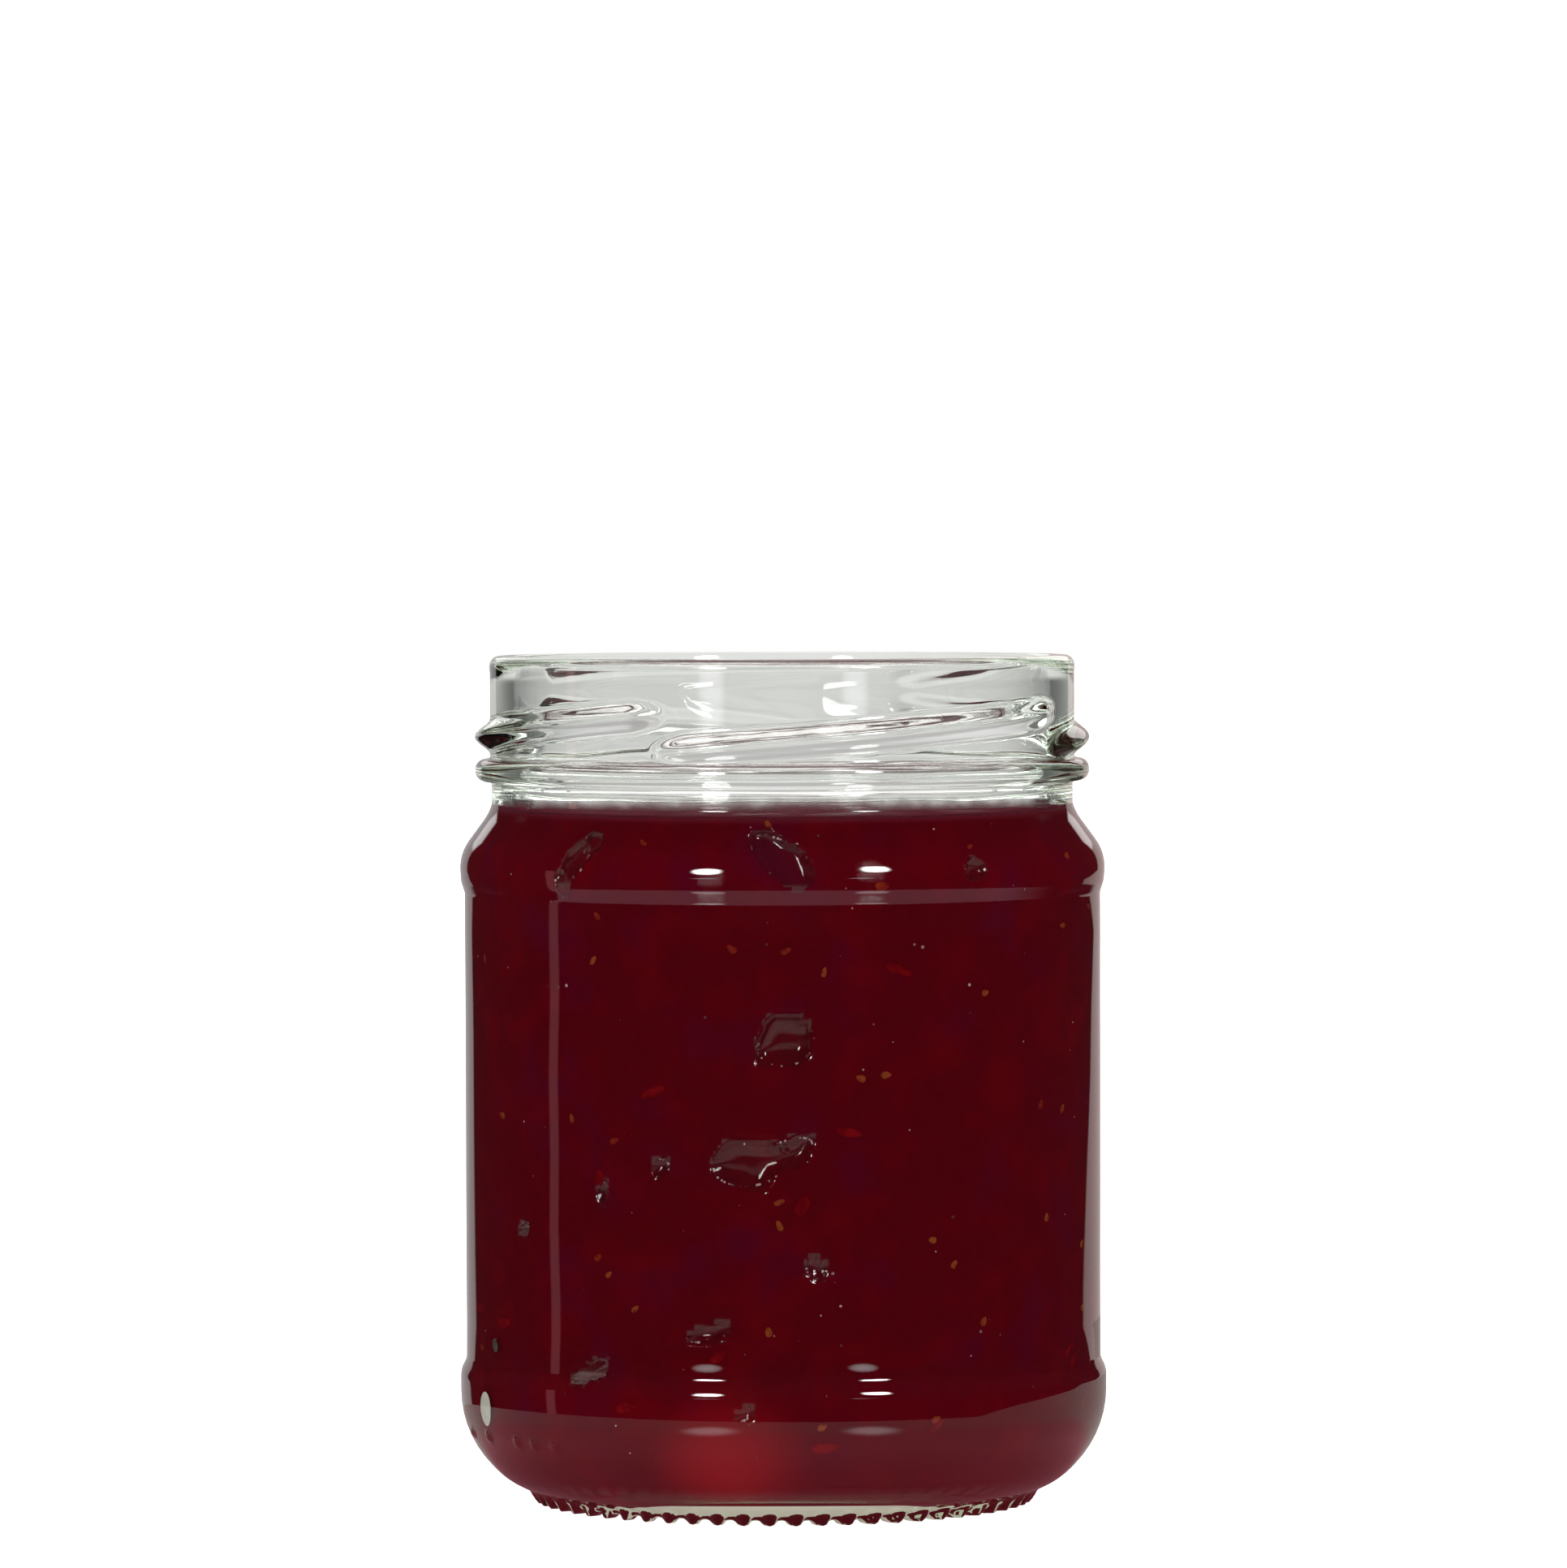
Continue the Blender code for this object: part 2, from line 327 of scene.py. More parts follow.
# %% What is seen through the glass
QUARTER = math.pi / 2
BELL_WIDTH = math.radians(22)
BEHIND = (130, 138)           # turned away from the front, in degrees
IN_FRONT = (112, 96)
HORIZON, LEVEL_END = (-2.0, -1.75), (12, 7)   # elevations, in degrees
DIM_FROM, DIM_BY = (3.5, 8), 0.35
DARK_LOW, DARK_HIGH = (-1.7, -1.95), (7, 12)
SEEN_BEHIND = (0.60, 0.59, 0.585)
SEEN_ELSEWHERE = (0.45, 0.44, 0.445)
SEEN_DARK = (0.125, 0.13, 0.128)
SEEN_IN_FRONT = (0.012, 0.012, 0.013)


def from_to(value, limits):
    """0 at the first limit and 1 at the second, which are in degrees."""
    return ease(sky, value, *in_radians(*limits))


quarter_place = calc(sky, "WRAP", azimuth, QUARTER / 2, -QUARTER / 2)
steps_out = calc(sky, "DIVIDE", quarter_place, BELL_WIDTH)
bell = calc(sky, "EXPONENT", times(sky, steps_out, steps_out, -1.0))
behind = from_to(turned_away, BEHIND)
level = times(sky, from_to(elevation, HORIZON), from_to(elevation, LEVEL_END))
elsewhere = times(sky, calc(sky, "SUBTRACT", 1.0, behind), level)
off_level = calc(sky, "MAXIMUM", from_to(elevation, DARK_LOW), from_to(elevation, DARK_HIGH))
in_front = times(sky, from_to(turned_away, IN_FRONT), off_level)
dimmer = calc(sky, "MULTIPLY_ADD", from_to(elevation, DIM_FROM), -DIM_BY, 1.0)
seen = blend_colours(sky, in_front, SEEN_DARK, SEEN_IN_FRONT)
seen = add_light(seen, times(sky, bell, behind, dimmer), SEEN_BEHIND)
seen = add_light(seen, times(sky, bell, elsewhere), SEEN_ELSEWHERE)
print("world nodes:", len(sky.nodes))

# %% [markdown]
# The threads and the collar bend some rays down onto the wet top of the jam, which throws them
# up and out through the back of the neck. They meet the ceiling of the studio, which has to be
# bright, or each thread would show a red band. A ray that was mirrored once on its way has a
# glossy depth of one, so only those rays see that bright ceiling. Far down lies the pale table.

# %% The ceiling, the table and the lamps through the glass
CEILING = (15, 20)            # elevations, in degrees
LOW_DOWN = (-7, -13)
SEEN_ABOVE = (0.30, 0.30, 0.30)
SEEN_BY_JAM = (5.4, 5.5, 5.4)
SEEN_BELOW = (0.84, 0.84, 0.83)

path = add_node(sky, "ShaderNodeLightPath")
after_gloss = calc(sky, "GREATER_THAN", path.outputs["Glossy Depth"], 0.5)
high_light = blend_colours(sky, after_gloss, SEEN_ABOVE, SEEN_BY_JAM)
seen = add_light(seen, times(sky, from_to(elevation, CEILING), behind), high_light)
seen = blend_colours(sky, from_to(elevation, LOW_DOWN), seen, SEEN_BELOW)
seen = add_light(seen, lamps, LAMP_COLOUR)
print("world nodes:", len(sky.nodes))

# %% [markdown]
# Matt surfaces get one even, soft light from all sides. The Light Path node tells the cases
# apart: a ray that was bent by glass last, one that was mirrored last, one that left a matt
# surface, and one straight from the camera, which finds plain white behind the jar.

# %% Choose the light by the kind of ray
SOFT_LIGHT = (1.25, 1.25, 1.25)
PLAIN_WHITE = (1.0, 1.0, 1.0)

after_matt = calc(sky, "GREATER_THAN", path.outputs["Diffuse Depth"], 0.5)
radiance = blend_colours(sky, path.outputs["Is Transmission Ray"], mirrored, seen)
radiance = blend_colours(sky, after_matt, radiance, SOFT_LIGHT)
radiance = blend_colours(sky, path.outputs["Is Camera Ray"], radiance, PLAIN_WHITE)
background = fill(add_node(sky, "ShaderNodeBackground"), Color=radiance)
fill(add_node(sky, "ShaderNodeOutputWorld"), Surface=background.outputs[0])
print("world nodes:", len(sky.nodes))

# %% [markdown]
# The floor is a wide sheet of matt white paper, lit from below like a light table, so that it
# hardly shows a shadow. It only needs a faint mottle, so that it isn't a flat colour. The world
# already holds what glass shows of the table, so the floor is for the camera alone.

# %% Lay the floor
FLOOR_HALF = 6.0
FLOOR_BELOW = 0.05 * MM
PAPER_GLOW = 1.0
PAPER_GRAIN = 40.0            # grains to a metre
PAPER_COLOURS = (0.86, 0.86, 0.86), (0.9, 0.9, 0.9)


def new_material(name):
    material = bpy.data.materials.new(name)
    material.use_nodes = True
    return material, material.node_tree, material.node_tree.nodes["Principled BSDF"]


def mesh_object(name, points, faces, materials):
    mesh = bpy.data.meshes.new(name)
    mesh.from_pydata(points, [], faces)
    for material in materials:
        mesh.materials.append(material)
    made = bpy.data.objects.new(name, mesh)
    scene.collection.objects.link(made)
    return made


paper, tree, shader = new_material("floor_paper")
mottle = fill(add_node(tree, "ShaderNodeTexNoise"), Scale=PAPER_GRAIN)
fill(shader, Base_Color=blend_colours(tree, mottle.outputs["Fac"], *PAPER_COLOURS),
     Roughness=0.9, Specular_IOR_Level=0.0,
     Emission_Color=PLAIN_WHITE, Emission_Strength=PAPER_GLOW)
corners = [(x * FLOOR_HALF, y * FLOOR_HALF, -FLOOR_BELOW)
           for x, y in ((-1, -1), (1, -1), (1, 1), (-1, 1))]
floor = mesh_object("floor", corners, [range(4)], [paper])
floor.visible_glossy = False
floor.visible_transmission = False
floor.visible_diffuse = False
print("floor is", 2 * FLOOR_HALF, "m wide")

# %% [markdown]
# The jar stands on a small white turntable, whose edge shows as a crisp line in the heel of the
# glass. A painted world can't give that line, because it has no distance. So a disc that only
# mirrors can see lies round the foot. On the right it runs on into the table, and the line
# climbs there. The disc's colours are painted light and shade: a painted shadow of the jam makes
# it dark red near the foot, it is pinker further out, grey far away and behind the jar, and has
# a painted pool of light under each lamp.

# %% Lay the mirrored turntable
TURNTABLE_R = 90 * MM
TURNTABLE_MIDDLE = (-2.5 * MM, 2.5 * MM)
TURNTABLE_BELOW = 0.04 * MM
RIM_POINTS = 128
SPREAD_AT = (60, 77, 100, 115, 130, 165, 178)  # degrees round the jar
SPREAD_BY = (1.0, 1.4, 1.75, 1.95, 2.5, 2.5, 1.0)
# painted shadow of the jam round the foot
PAINTED_SHADOW_COLOUR = (0.22, 0.08, 0.10)
TURNTABLE_COLOUR = (0.50, 0.23, 0.26)
FAR_COLOUR = (0.42, 0.33, 0.33)
BEHIND_COLOUR = (0.42, 0.38, 0.36)
# painted pools of light under the lamps
PAINTED_POOLS = ((-22 * MM, -62 * MM, 0.0), (26 * MM, -60 * MM, 0.0))
PAINTED_POOL_COLOUR = (2.6, 2.3, 2.4)
# where each colour begins and where it is full
TURNTABLE_FADE, FAR_FADE = (29 * MM, 45 * MM), (50 * MM, 72 * MM)
BEHIND_FADE, PAINTED_POOL_FADE = (4 * MM, 26 * MM), (11 * MM, 3 * MM)


def place_on(tree):
    """The place on the jar's own axes."""
    return add_node(tree, "ShaderNodeTexCoord").outputs["Object"]


def part_of(tree, place, axis):
    parts = add_node(tree, "ShaderNodeSeparateXYZ")
    plug(parts.inputs[0], place)
    return parts.outputs[axis]


def distance(tree, place, point):
    made = add_node(tree, "ShaderNodeVectorMath", operation="DISTANCE")
    plug(made.inputs[0], place)
    plug(made.inputs[1], point)
    return made.outputs["Value"]


glow, tree, shader = new_material("turntable_light")
tree.nodes.remove(shader)
place = place_on(tree)
from_foot = distance(tree, place, (0.0, 0.0, 0.0))
colour = PAINTED_SHADOW_COLOUR
for value, fade, other in (
        (from_foot, TURNTABLE_FADE, TURNTABLE_COLOUR), (from_foot, FAR_FADE, FAR_COLOUR),
        (part_of(tree, place, "Y"), BEHIND_FADE, BEHIND_COLOUR),
        *((distance(tree, place, pool), PAINTED_POOL_FADE, PAINTED_POOL_COLOUR) for pool in PAINTED_POOLS)):
    colour = blend_colours(tree, ease(tree, value, *fade), colour, other)
emission = fill(add_node(tree, "ShaderNodeEmission"), Color=colour)
fill(tree.nodes["Material Output"], Surface=emission.outputs[0])

turns = np.linspace(0, math.tau, RIM_POINTS, endpoint=False)
spread = np.interp(np.degrees(turns), SPREAD_AT, SPREAD_BY)
rim_x, rim_y, _z = around(TURNTABLE_R * spread, turns, 0.0)
rim = [(x + TURNTABLE_MIDDLE[0], y + TURNTABLE_MIDDLE[1], -TURNTABLE_BELOW)
       for x, y in zip(rim_x, rim_y)]
turntable = mesh_object("mirrored_turntable", rim, [range(len(rim))], [glow])
turntable.visible_camera = False
turntable.visible_diffuse = False
turntable.visible_transmission = False
turntable.visible_shadow = False
print("turntable radius", TURNTABLE_R / MM, "mm")

# %% [markdown]
# A jar is drawn as half of its section: a chain of corners, each with a radius, a height and a
# rounding. The helper below turns corners into points, with arcs in the place of the corners
# and long lines cut into short steps, so that later cells can push the surface in and out.

# %% Draw a section from its corners
ARC_STEP = math.radians(7)
SHORTEST_STEP = 0.33 * MM


def unit(vector):
    return vector / np.linalg.norm(vector)


def rounded_outline(corners, steps_of_line):
    """Points (radius, height) of a chain of corners (radius, height, rounding)."""
    points = [np.array(corners[0][:2])]
    for before, corner, after in zip(corners, corners[1:], corners[2:]):
        here = np.array(corner[:2])
        back, ahead = unit(np.array(before[:2]) - here), unit(np.array(after[:2]) - here)
        turn = math.pi - math.acos(max(-1.0, min(1.0, float(back @ ahead))))
        rounding = corner[2]
        if rounding == 0:
            points.append(here)
            continue
        start = here + back * rounding * math.tan(turn / 2)
        centre = here + unit(back + ahead) * rounding / math.cos(turn / 2)
        spoke = start - centre
        side = -1 if back[0] * ahead[1] - back[1] * ahead[0] > 0 else 1
        steps = max(2, math.ceil(min(turn / ARC_STEP, turn * rounding / SHORTEST_STEP)))
        for step in range(steps + 1):
            points.append(centre + np.array(turned(*spoke, -side * turn * step / steps)))
    points.append(np.array(corners[-1][:2]))
    return cut_lines(np.array(points), steps_of_line)


def cut_lines(points, longest_step):
    """Cut lines that are longer than longest_step(place) into equal shorter ones."""
    cut = [points[:1]]
    for start, end in zip(points, points[1:]):
        length = float(np.linalg.norm(end - start))
        pieces = max(1, math.ceil(length / longest_step((start + end) / 2)))
        shares = np.arange(1, pieces + 1)[:, None] / pieces
        cut.append(start + (end - start) * shares)
    return np.vstack(cut)


print("arc step", round(math.degrees(ARC_STEP)), "degrees")

# %% [markdown]
# The section of this jar, from the middle of its pushed-up base out over the foot, up the heel,
# the lower bead, the straight panel, the shoulder bead and the neck to the lip, and then down
# the inside again. Both sides are drawn, because glass without thickness doesn't bend light.

# %% The jar's section


def in_millimetres(corners):
    return [tuple(value * MM for value in corner) for corner in corners]


OUTSIDE = in_millimetres((
    (0.0, 2.5, 0),            # middle of the pushed-up base
    (11.0, 2.2, 12.0),
    (22.0, 1.0, 2.5),
    (24.3, 0.5, 0.5),         # foot ring, between its ribs
    (25.65, 0.5, 0.5),
    (26.1, 1.0, 0.5),
    (29.55, 2.55, 8.0),       # turn under the heel
    (34.18, 7.35, 11.2),      # heel
    (34.18, 13.95, 2.4),      # lower bead
    (33.56, 15.2, 1.2),
    (33.6, 64.4, 1.2),        # panel
    (34.0, 65.6, 2.2),        # shoulder bead
    (34.19, 68.5, 4.8),
    (31.08, 72.75, 5.0),      # neck
    (30.72, 73.8, 0.5),
    (30.72, 76.15, 0.3),
    (32.47, 76.15, 1.1),      # collar
    (32.47, 78.55, 1.1),
    (30.9, 78.55, 0.3),
    (30.9, 89.4, 1.0),        # mouth and lip
    (29.6, 89.4, 0)))
INSIDE = in_millimetres((
    (29.6, 89.4, 0),
    (28.45, 89.4, 0.4),
    (28.45, 73.0, 5.0),       # bore
    (31.3, 68.0, 7.0),        # shoulder
    (31.3, 4.2, 6.5),         # heel
    (23.0, 4.5, 14.0),
    (0.0, 6.8, 0)))           # domed bottom
HEIGHT, MOUTH_R = OUTSIDE[-1][1], OUTSIDE[-2][0]
print("the jar is", round(HEIGHT / MM, 1), "mm high")

# %% [markdown]
# The net is finest where something small is raised from it: the threads, the ribs of the foot
# and the dots on the heel. Plain walls are straight and need few points.

# %% Cut the section into steps
PLAIN_STEP, INSIDE_STEP = 3.8 * MM, 3.4 * MM
FINE_STEPS = in_millimetres((  # lowest, highest, smallest radius, longest step
    (78.5, 86.0, 29.0, 0.35),  # threads
    (-1.0, 2.5, 22.5, 0.44),   # ribs of the foot
    (6.6, 9.4, 30.0, 0.33)))   # dots on the heel


def outside_step(place):
    radius, height = place
    for lowest, highest, smallest, step in FINE_STEPS:
        if lowest < height < highest and radius > smallest:
            return step
    return PLAIN_STEP


outside = rounded_outline(OUTSIDE, outside_step)
inside = rounded_outline(INSIDE, lambda place: INSIDE_STEP)
print("section rows:", len(outside), "outside and", len(inside), "inside")

# %% [markdown]
# Turning the section round the axis gives a net of columns and rows. Blender's Spin tool or a
# Screw modifier would do it too, but a net of plain numbers can be shaped before it becomes a
# mesh: every thread, rib and dimple is then a small sum on the whole net at once.

# %% Turn a section into a net, and a net into an object
COLUMNS = 480
turns = np.arange(COLUMNS) * math.tau / COLUMNS


def net_object(name, radius, height, materials, face_slots=None):
    """A closed object from a net of radii and heights whose first and last row are points."""
    rows = len(radius) - 2
    points = np.stack(around(radius[1:-1], turns[None, :], height[1:-1]), axis=2).reshape(-1, 3)
    points = np.vstack([points, [(0, 0, height[0].mean()), (0, 0, height[-1].mean())]])
    first_pole, last_pole = rows * COLUMNS, rows * COLUMNS + 1
    column = np.arange(COLUMNS)
    following = (column + 1) % COLUMNS
    faces = [(first_pole, b, a) for a, b in zip(column.tolist(), following.tolist())]
    for low in range(0, (rows - 1) * COLUMNS, COLUMNS):
        high = low + COLUMNS
        faces += np.stack(
            [low + column, low + following, high + following, high + column], 1).tolist()
    top = (rows - 1) * COLUMNS
    faces += [(last_pole, top + a, top + b) for a, b in zip(column.tolist(), following.tolist())]
    made = mesh_object(name, points.tolist(), faces, materials)
    if face_slots is not None:
        made.data.polygons.foreach_set("material_index", face_slots)
    made.data.shade_smooth()
    print(name, "has", rows, "rows and", 2 * COLUMNS * rows, "triangles")
    return made


section = np.vstack([outside, inside[1:]])
section_r, section_z = section.T
outer_rows = np.arange(len(section)) < len(outside) - 1
jar_r = np.repeat(section[:, :1], COLUMNS, axis=1)
jar_z = np.repeat(section[:, 1:], COLUMNS, axis=1)


def outer_band(lowest, highest, smallest=0.0):
    """Rows on the outside between two heights, beyond a radius, as a column of the net."""
    band = outer_rows & (section_z > lowest) & (section_z < highest) & (section_r > smallest)
    return band[:, None]


# %% [markdown]
# Two ways to say where a point is on the outside are handy for the raised details: how far it
# lies along the section, and which way the surface faces there.

# %% Lengths and facing of the section
section_step = np.gradient(section, axis=0)
section_step /= np.linalg.norm(section_step, axis=1)[:, None]
facing_r, facing_z = section_step[:, 1:], -section_step[:, :1]
section_length = np.concatenate(
    [[0], np.cumsum(np.linalg.norm(np.diff(section, axis=0), axis=1))])
print("the section is", round(section_length[-1] / MM, 1), "mm long")


def signed_turn(angle):
    """The same angle, between minus and plus half a turn."""
    return (angle + math.pi) % math.tau - math.pi


# %% [markdown]
# The mouth is a twist-off finish: four short threads, each a quarter of a turn, climb round it,
# and a lid with four lugs turns down along them. A thread is a rounded ridge that narrows and
# dies away at either end. The threads and the collar of this jar stand full at its two sides,
# where the mould halves meet, and less proud in front and behind.

# %% Raise the threads
THREAD_STARTS = 4
THREAD_FIRST = math.radians(-26.3)
THREAD_SWEEP = math.radians(93.7)
THREAD_LOW_Z = HEIGHT - 9.7 * MM
THREAD_RISE = 4.0 * MM
THREAD_HALF = 1.85 * MM
THREAD_DEPTH = 1.6 * MM
THREAD_TIP = math.radians(8.0)
THREAD_TIP_WIDTH = 0.65       # width of the tip, as a share of the whole
THREAD_FLANK = 0.96           # share of the half height that is flank
LESS_PROUD = 0.50             # share that is missing in front and behind
FULL_POWER = 8                # the higher, the shorter the full stretches
MOUTH_BAND, COLLAR_BAND = (76 * MM, 87 * MM), (76 * MM, 78.6 * MM)


def thread_height(angle, height):
    raised = 0 * angle * height
    for start in range(THREAD_STARTS):
        along = (angle - THREAD_FIRST - start * math.tau / THREAD_STARTS) % math.tau
        fullness = fade_in(np.minimum(along, THREAD_SWEEP - along), 0, THREAD_TIP)
        middle = THREAD_LOW_Z + THREAD_RISE * along / THREAD_SWEEP
        half = THREAD_HALF * (THREAD_TIP_WIDTH + (1 - THREAD_TIP_WIDTH) * fullness)
        ridge = fade_in(1 - np.abs(height - middle) / half, 0, THREAD_FLANK)
        raised = np.maximum(raised, THREAD_DEPTH * fullness * ridge)
    return raised


on_mouth = outer_band(*MOUTH_BAND)
threads = thread_height(turns[None, :], jar_z)
kept = 1 - LESS_PROUD * (1 - np.sin(turns)[None, :] ** FULL_POWER)
collar = np.where(outer_band(*COLLAR_BAND), np.maximum(jar_r - MOUTH_R, 0), 0)
jar_r -= collar * (1 - kept)
jar_r += np.where(on_mouth, threads * kept, 0)
print("threads reach a radius of", round(jar_r[on_mouth[:, 0]].max() / MM, 2), "mm")

# %% [markdown]
# The jar stands on sixty small slanted ribs, which keep the hot base off the belt while it is
# made. Each rib is an oval seen from below: inside it the ring's underside is pulled down to the
# table, and round it the pull fades out smoothly.

# %% Press the ribs into the foot
FOOT_R = 25.2 * MM
RIBS = 60
RIB_FIRST = math.radians(2.3)
RIB_SLANT = math.radians(20)
RIB_LENGTH = 4.4 * MM
RIB_WIDTH = 1.95 * MM
RIB_FLAT = 0.42               # share of the oval that is flat
FOOT_BAND = (-1 * MM, 3 * MM, 21 * MM)

rib_turn = math.tau / RIBS
from_rib = (turns - RIB_FIRST + rib_turn / 2) % rib_turn - rib_turn / 2
along, across = turned(jar_r - FOOT_R, FOOT_R * from_rib[None, :], RIB_SLANT)
oval = np.hypot(along / (RIB_LENGTH / 2), across / (RIB_WIDTH / 2))
on_foot = outer_band(*FOOT_BAND)
jar_z = np.where(on_foot, jar_z * fade_in(oval, RIB_FLAT, 1), jar_z)
print("lowest point of the foot:", round(jar_z.min() / MM, 3), "mm")

# %% [markdown]
# Low on the heel sits a row of small round dots, which the factory reads to tell its moulds
# apart. They are raised by three tenths of a millimetre, the way the surface itself faces.

# %% Raise the mould dots on the heel
# azimuth and height
DOTS = [(-77.0, 7.9), (-66.8, 8.0), (-55.7, 8.0), (-50.5, 8.0), (-44.9, 8.0)]
DOT_R = 0.75 * MM
DOT_HEIGHT = 0.3 * MM
HEEL_BAND = (-1 * MM, 12 * MM, 30 * MM)

on_heel = outer_band(*HEEL_BAND)
heel_rows = on_heel[:, 0]
raised = np.zeros_like(jar_r)
for degrees, millimetres in DOTS:
    middle = np.interp(millimetres * MM, section_z[heel_rows], section_length[heel_rows])
    up = (section_length - middle)[:, None]
    aside = jar_r * signed_turn(turns - math.radians(degrees))[None, :]
    share = np.clip(1 - (np.hypot(up, aside) / DOT_R) ** 2, 0, 1)
    raised = np.maximum(raised, DOT_HEIGHT * share)
raised = np.where(on_heel, raised, 0)
jar_r += raised * facing_r
jar_z += raised * facing_z
print("dots:", len(DOTS))

# %% [markdown]
# No mould is exact: at the front, the lower bead of this one sits half a millimetre higher.

# %% Lift the lower bead at the front
BEAD_LIFT = 0.5 * MM
BEAD_MIDDLE, BEAD_REACH = 14.3 * MM, 4.5 * MM

near_bead = np.clip(1 - ((jar_z - BEAD_MIDDLE) / BEAD_REACH) ** 2, 0, 1)
to_front = np.clip(np.cos(turns), 0, 1)[None, :] ** 2
jar_z += np.where(outer_rows[:, None], BEAD_LIFT * near_bead * to_front, 0)
print("the bead is lifted by up to", BEAD_LIFT / MM, "mm")

# %% [markdown]
# Blown glass is never quite even. A few long, shallow waves on both sides make lines that the
# jar mirrors or bends run a little crooked. The waves fade out at the beads and the lip, so the
# jar keeps its outer sizes.

# %% Make the walls a little uneven
WAVES = 12
OUTER_WAVE, OUTER_WAVE_HEIGHT = 18 * MM, 0.018 * MM
INNER_WAVE, INNER_WAVE_HEIGHT = 16 * MM, 0.030 * MM
MOST_RINGS = 14               # a wave has fewer crests than this round the jar
PANEL_ENDS = (16 * MM, 20 * MM), (64 * MM, 60 * MM)
NECK_ENDS = (70 * MM, 74 * MM), (88.5 * MM, 86 * MM)


def waves(longest, amplitude):
    """The sum of a few shallow waves over the net, seeded."""
    total = 0 * jar_r
    for _ in range(WAVES):
        rings = random.integers(1, MOST_RINGS)
        climb = random.normal() * math.tau / longest
        shift = random.uniform(0, math.tau)
        total = total + np.sin(rings * turns[None, :] + climb * jar_z + shift)
    return total * amplitude / math.sqrt(WAVES)


panel, neck = (fade_in(jar_z, *low) * fade_in(jar_z, *high)
               for low, high in (PANEL_ENDS, NECK_ENDS))
on_outside = outer_rows[:, None]
jar_r += np.where(on_outside, waves(OUTER_WAVE, OUTER_WAVE_HEIGHT) * panel, 0)
jar_r += np.where(on_outside, 0, waves(INNER_WAVE, INNER_WAVE_HEIGHT) * (panel + neck))
print("walls vary by a few hundredths of a millimetre")

# %% [markdown]
# The glass itself: fully transmissive, smooth, with the index of soda-lime glass. Its faint
# green comes from iron in the sand, and only shows where light runs a long way inside, so it is
# a volume colour and not a surface colour. A fine bump gives the surface its cast skin.

# %% Mix the glass
GLASS_INDEX = 1.52
GLASS_ABSORPTION = 25.0
GLASS_TINT = (0.70, 0.88, 0.62)
SKIN_GRAIN = 260.0            # grains to a metre
SKIN_STRENGTH, SKIN_HEIGHT = 0.02, 0.02 * MM


def noise(tree, place, scale, detail=2.0):
    made = fill(add_node(tree, "ShaderNodeTexNoise"), Vector=place, Scale=scale, Detail=detail)
    return made.outputs["Fac"]


def roughen(tree, shader, height, strength, distance):
    bump = fill(add_node(tree, "ShaderNodeBump"), Strength=strength, Distance=distance,
                Height=height)
    fill(shader, Normal=bump.outputs["Normal"])


glass, tree, shader = new_material("clear_glass")
fill(shader, Base_Color=PLAIN_WHITE, Roughness=0.0, IOR=GLASS_INDEX, Transmission_Weight=1.0)
skin = noise(tree, place_on(tree), SKIN_GRAIN, detail=1.0)
roughen(tree, shader, skin, SKIN_STRENGTH, SKIN_HEIGHT)
absorption = fill(add_node(tree, "ShaderNodeVolumeAbsorption"), Color=GLASS_TINT,
                  Density=GLASS_ABSORPTION)
fill(tree.nodes["Material Output"], Volume=absorption.outputs[0])

jar = net_object("jar_glass", jar_r, jar_z, [glass])
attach(jar, "root")
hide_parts("glass_jar")

# %% [markdown]
# The jam fills the hollow. It reaches a tenth of a millimetre into the glass, so that no film of
# air is left between them, which would mirror like silver. Its section is the inside of the jar
# up to its level in the neck, and then its own top, inwards to the axis. A thin film of jam
# climbs the glass above that level, where the hot jam splashed and ran back.

# %% The jam's section
INTO_GLASS = 0.1 * MM
JAM_LEVEL = 72.8 * MM
MENISCUS = 0.15 * MM
FILM_TOP = 75.9 * MM
FILM_INSIDE = 0.12 * MM
FILM_ROWS, TOP_ROWS = 4, 16
TOP_CROWDING = 1.6            # rows of the top crowd towards the glass
SIDE_STEP, BOTTOM_STEP = 0.62 * MM, 1.6 * MM
SIDE_FROM = 6 * MM
BOTTOM_TO = 10 * MM
NECK_FROM = 70 * MM

hollow = [(r + INTO_GLASS, z - (INTO_GLASS if z < BOTTOM_TO else 0), rounding)
          for r, z, rounding in reversed(INSIDE[1:])]
hollow[0] = (0.0, hollow[0][1], 0)
wall = rounded_outline(hollow, lambda place: SIDE_STEP if place[1] > SIDE_FROM else BOTTOM_STEP)
jam_wall = wall[wall[:, 1] < FILM_TOP]
film_z = np.linspace(FILM_TOP, JAM_LEVEL + MENISCUS, FILM_ROWS)
neck_r, neck_z = wall[wall[:, 1] > NECK_FROM].T
film_r = np.interp(film_z, neck_z, neck_r) - INTO_GLASS - FILM_INSIDE
last_r = film_r[-1]
top_r = last_r * (1 - np.linspace(0, 1, TOP_ROWS + 1)[1:] ** TOP_CROWDING)
jam_section = np.vstack([
    jam_wall, np.stack([film_r, film_z], 1),
    np.stack([top_r, np.full(TOP_ROWS, JAM_LEVEL + MENISCUS)], 1)])
jam_r = np.repeat(jam_section[:, :1], COLUMNS, axis=1)
jam_z = np.repeat(jam_section[:, 1:], COLUMNS, axis=1)
print("jam rows:", len(jam_wall), "on the wall and", FILM_ROWS + TOP_ROWS, "on top")

# %% [markdown]
# Jam is spooned in hot and sets uneven. Its top sinks away from the meniscus at the glass and
# has low mounds.

# %% Shape the jam's top
MOUNDS, MOUND_HEIGHT = 9, 0.03 * MM
MOUND_SPREADS = (9, 22)       # mm
MOUNDS_FROM = 3               # full at this many reaches of the meniscus
MENISCUS_REACH = 1.3 * MM

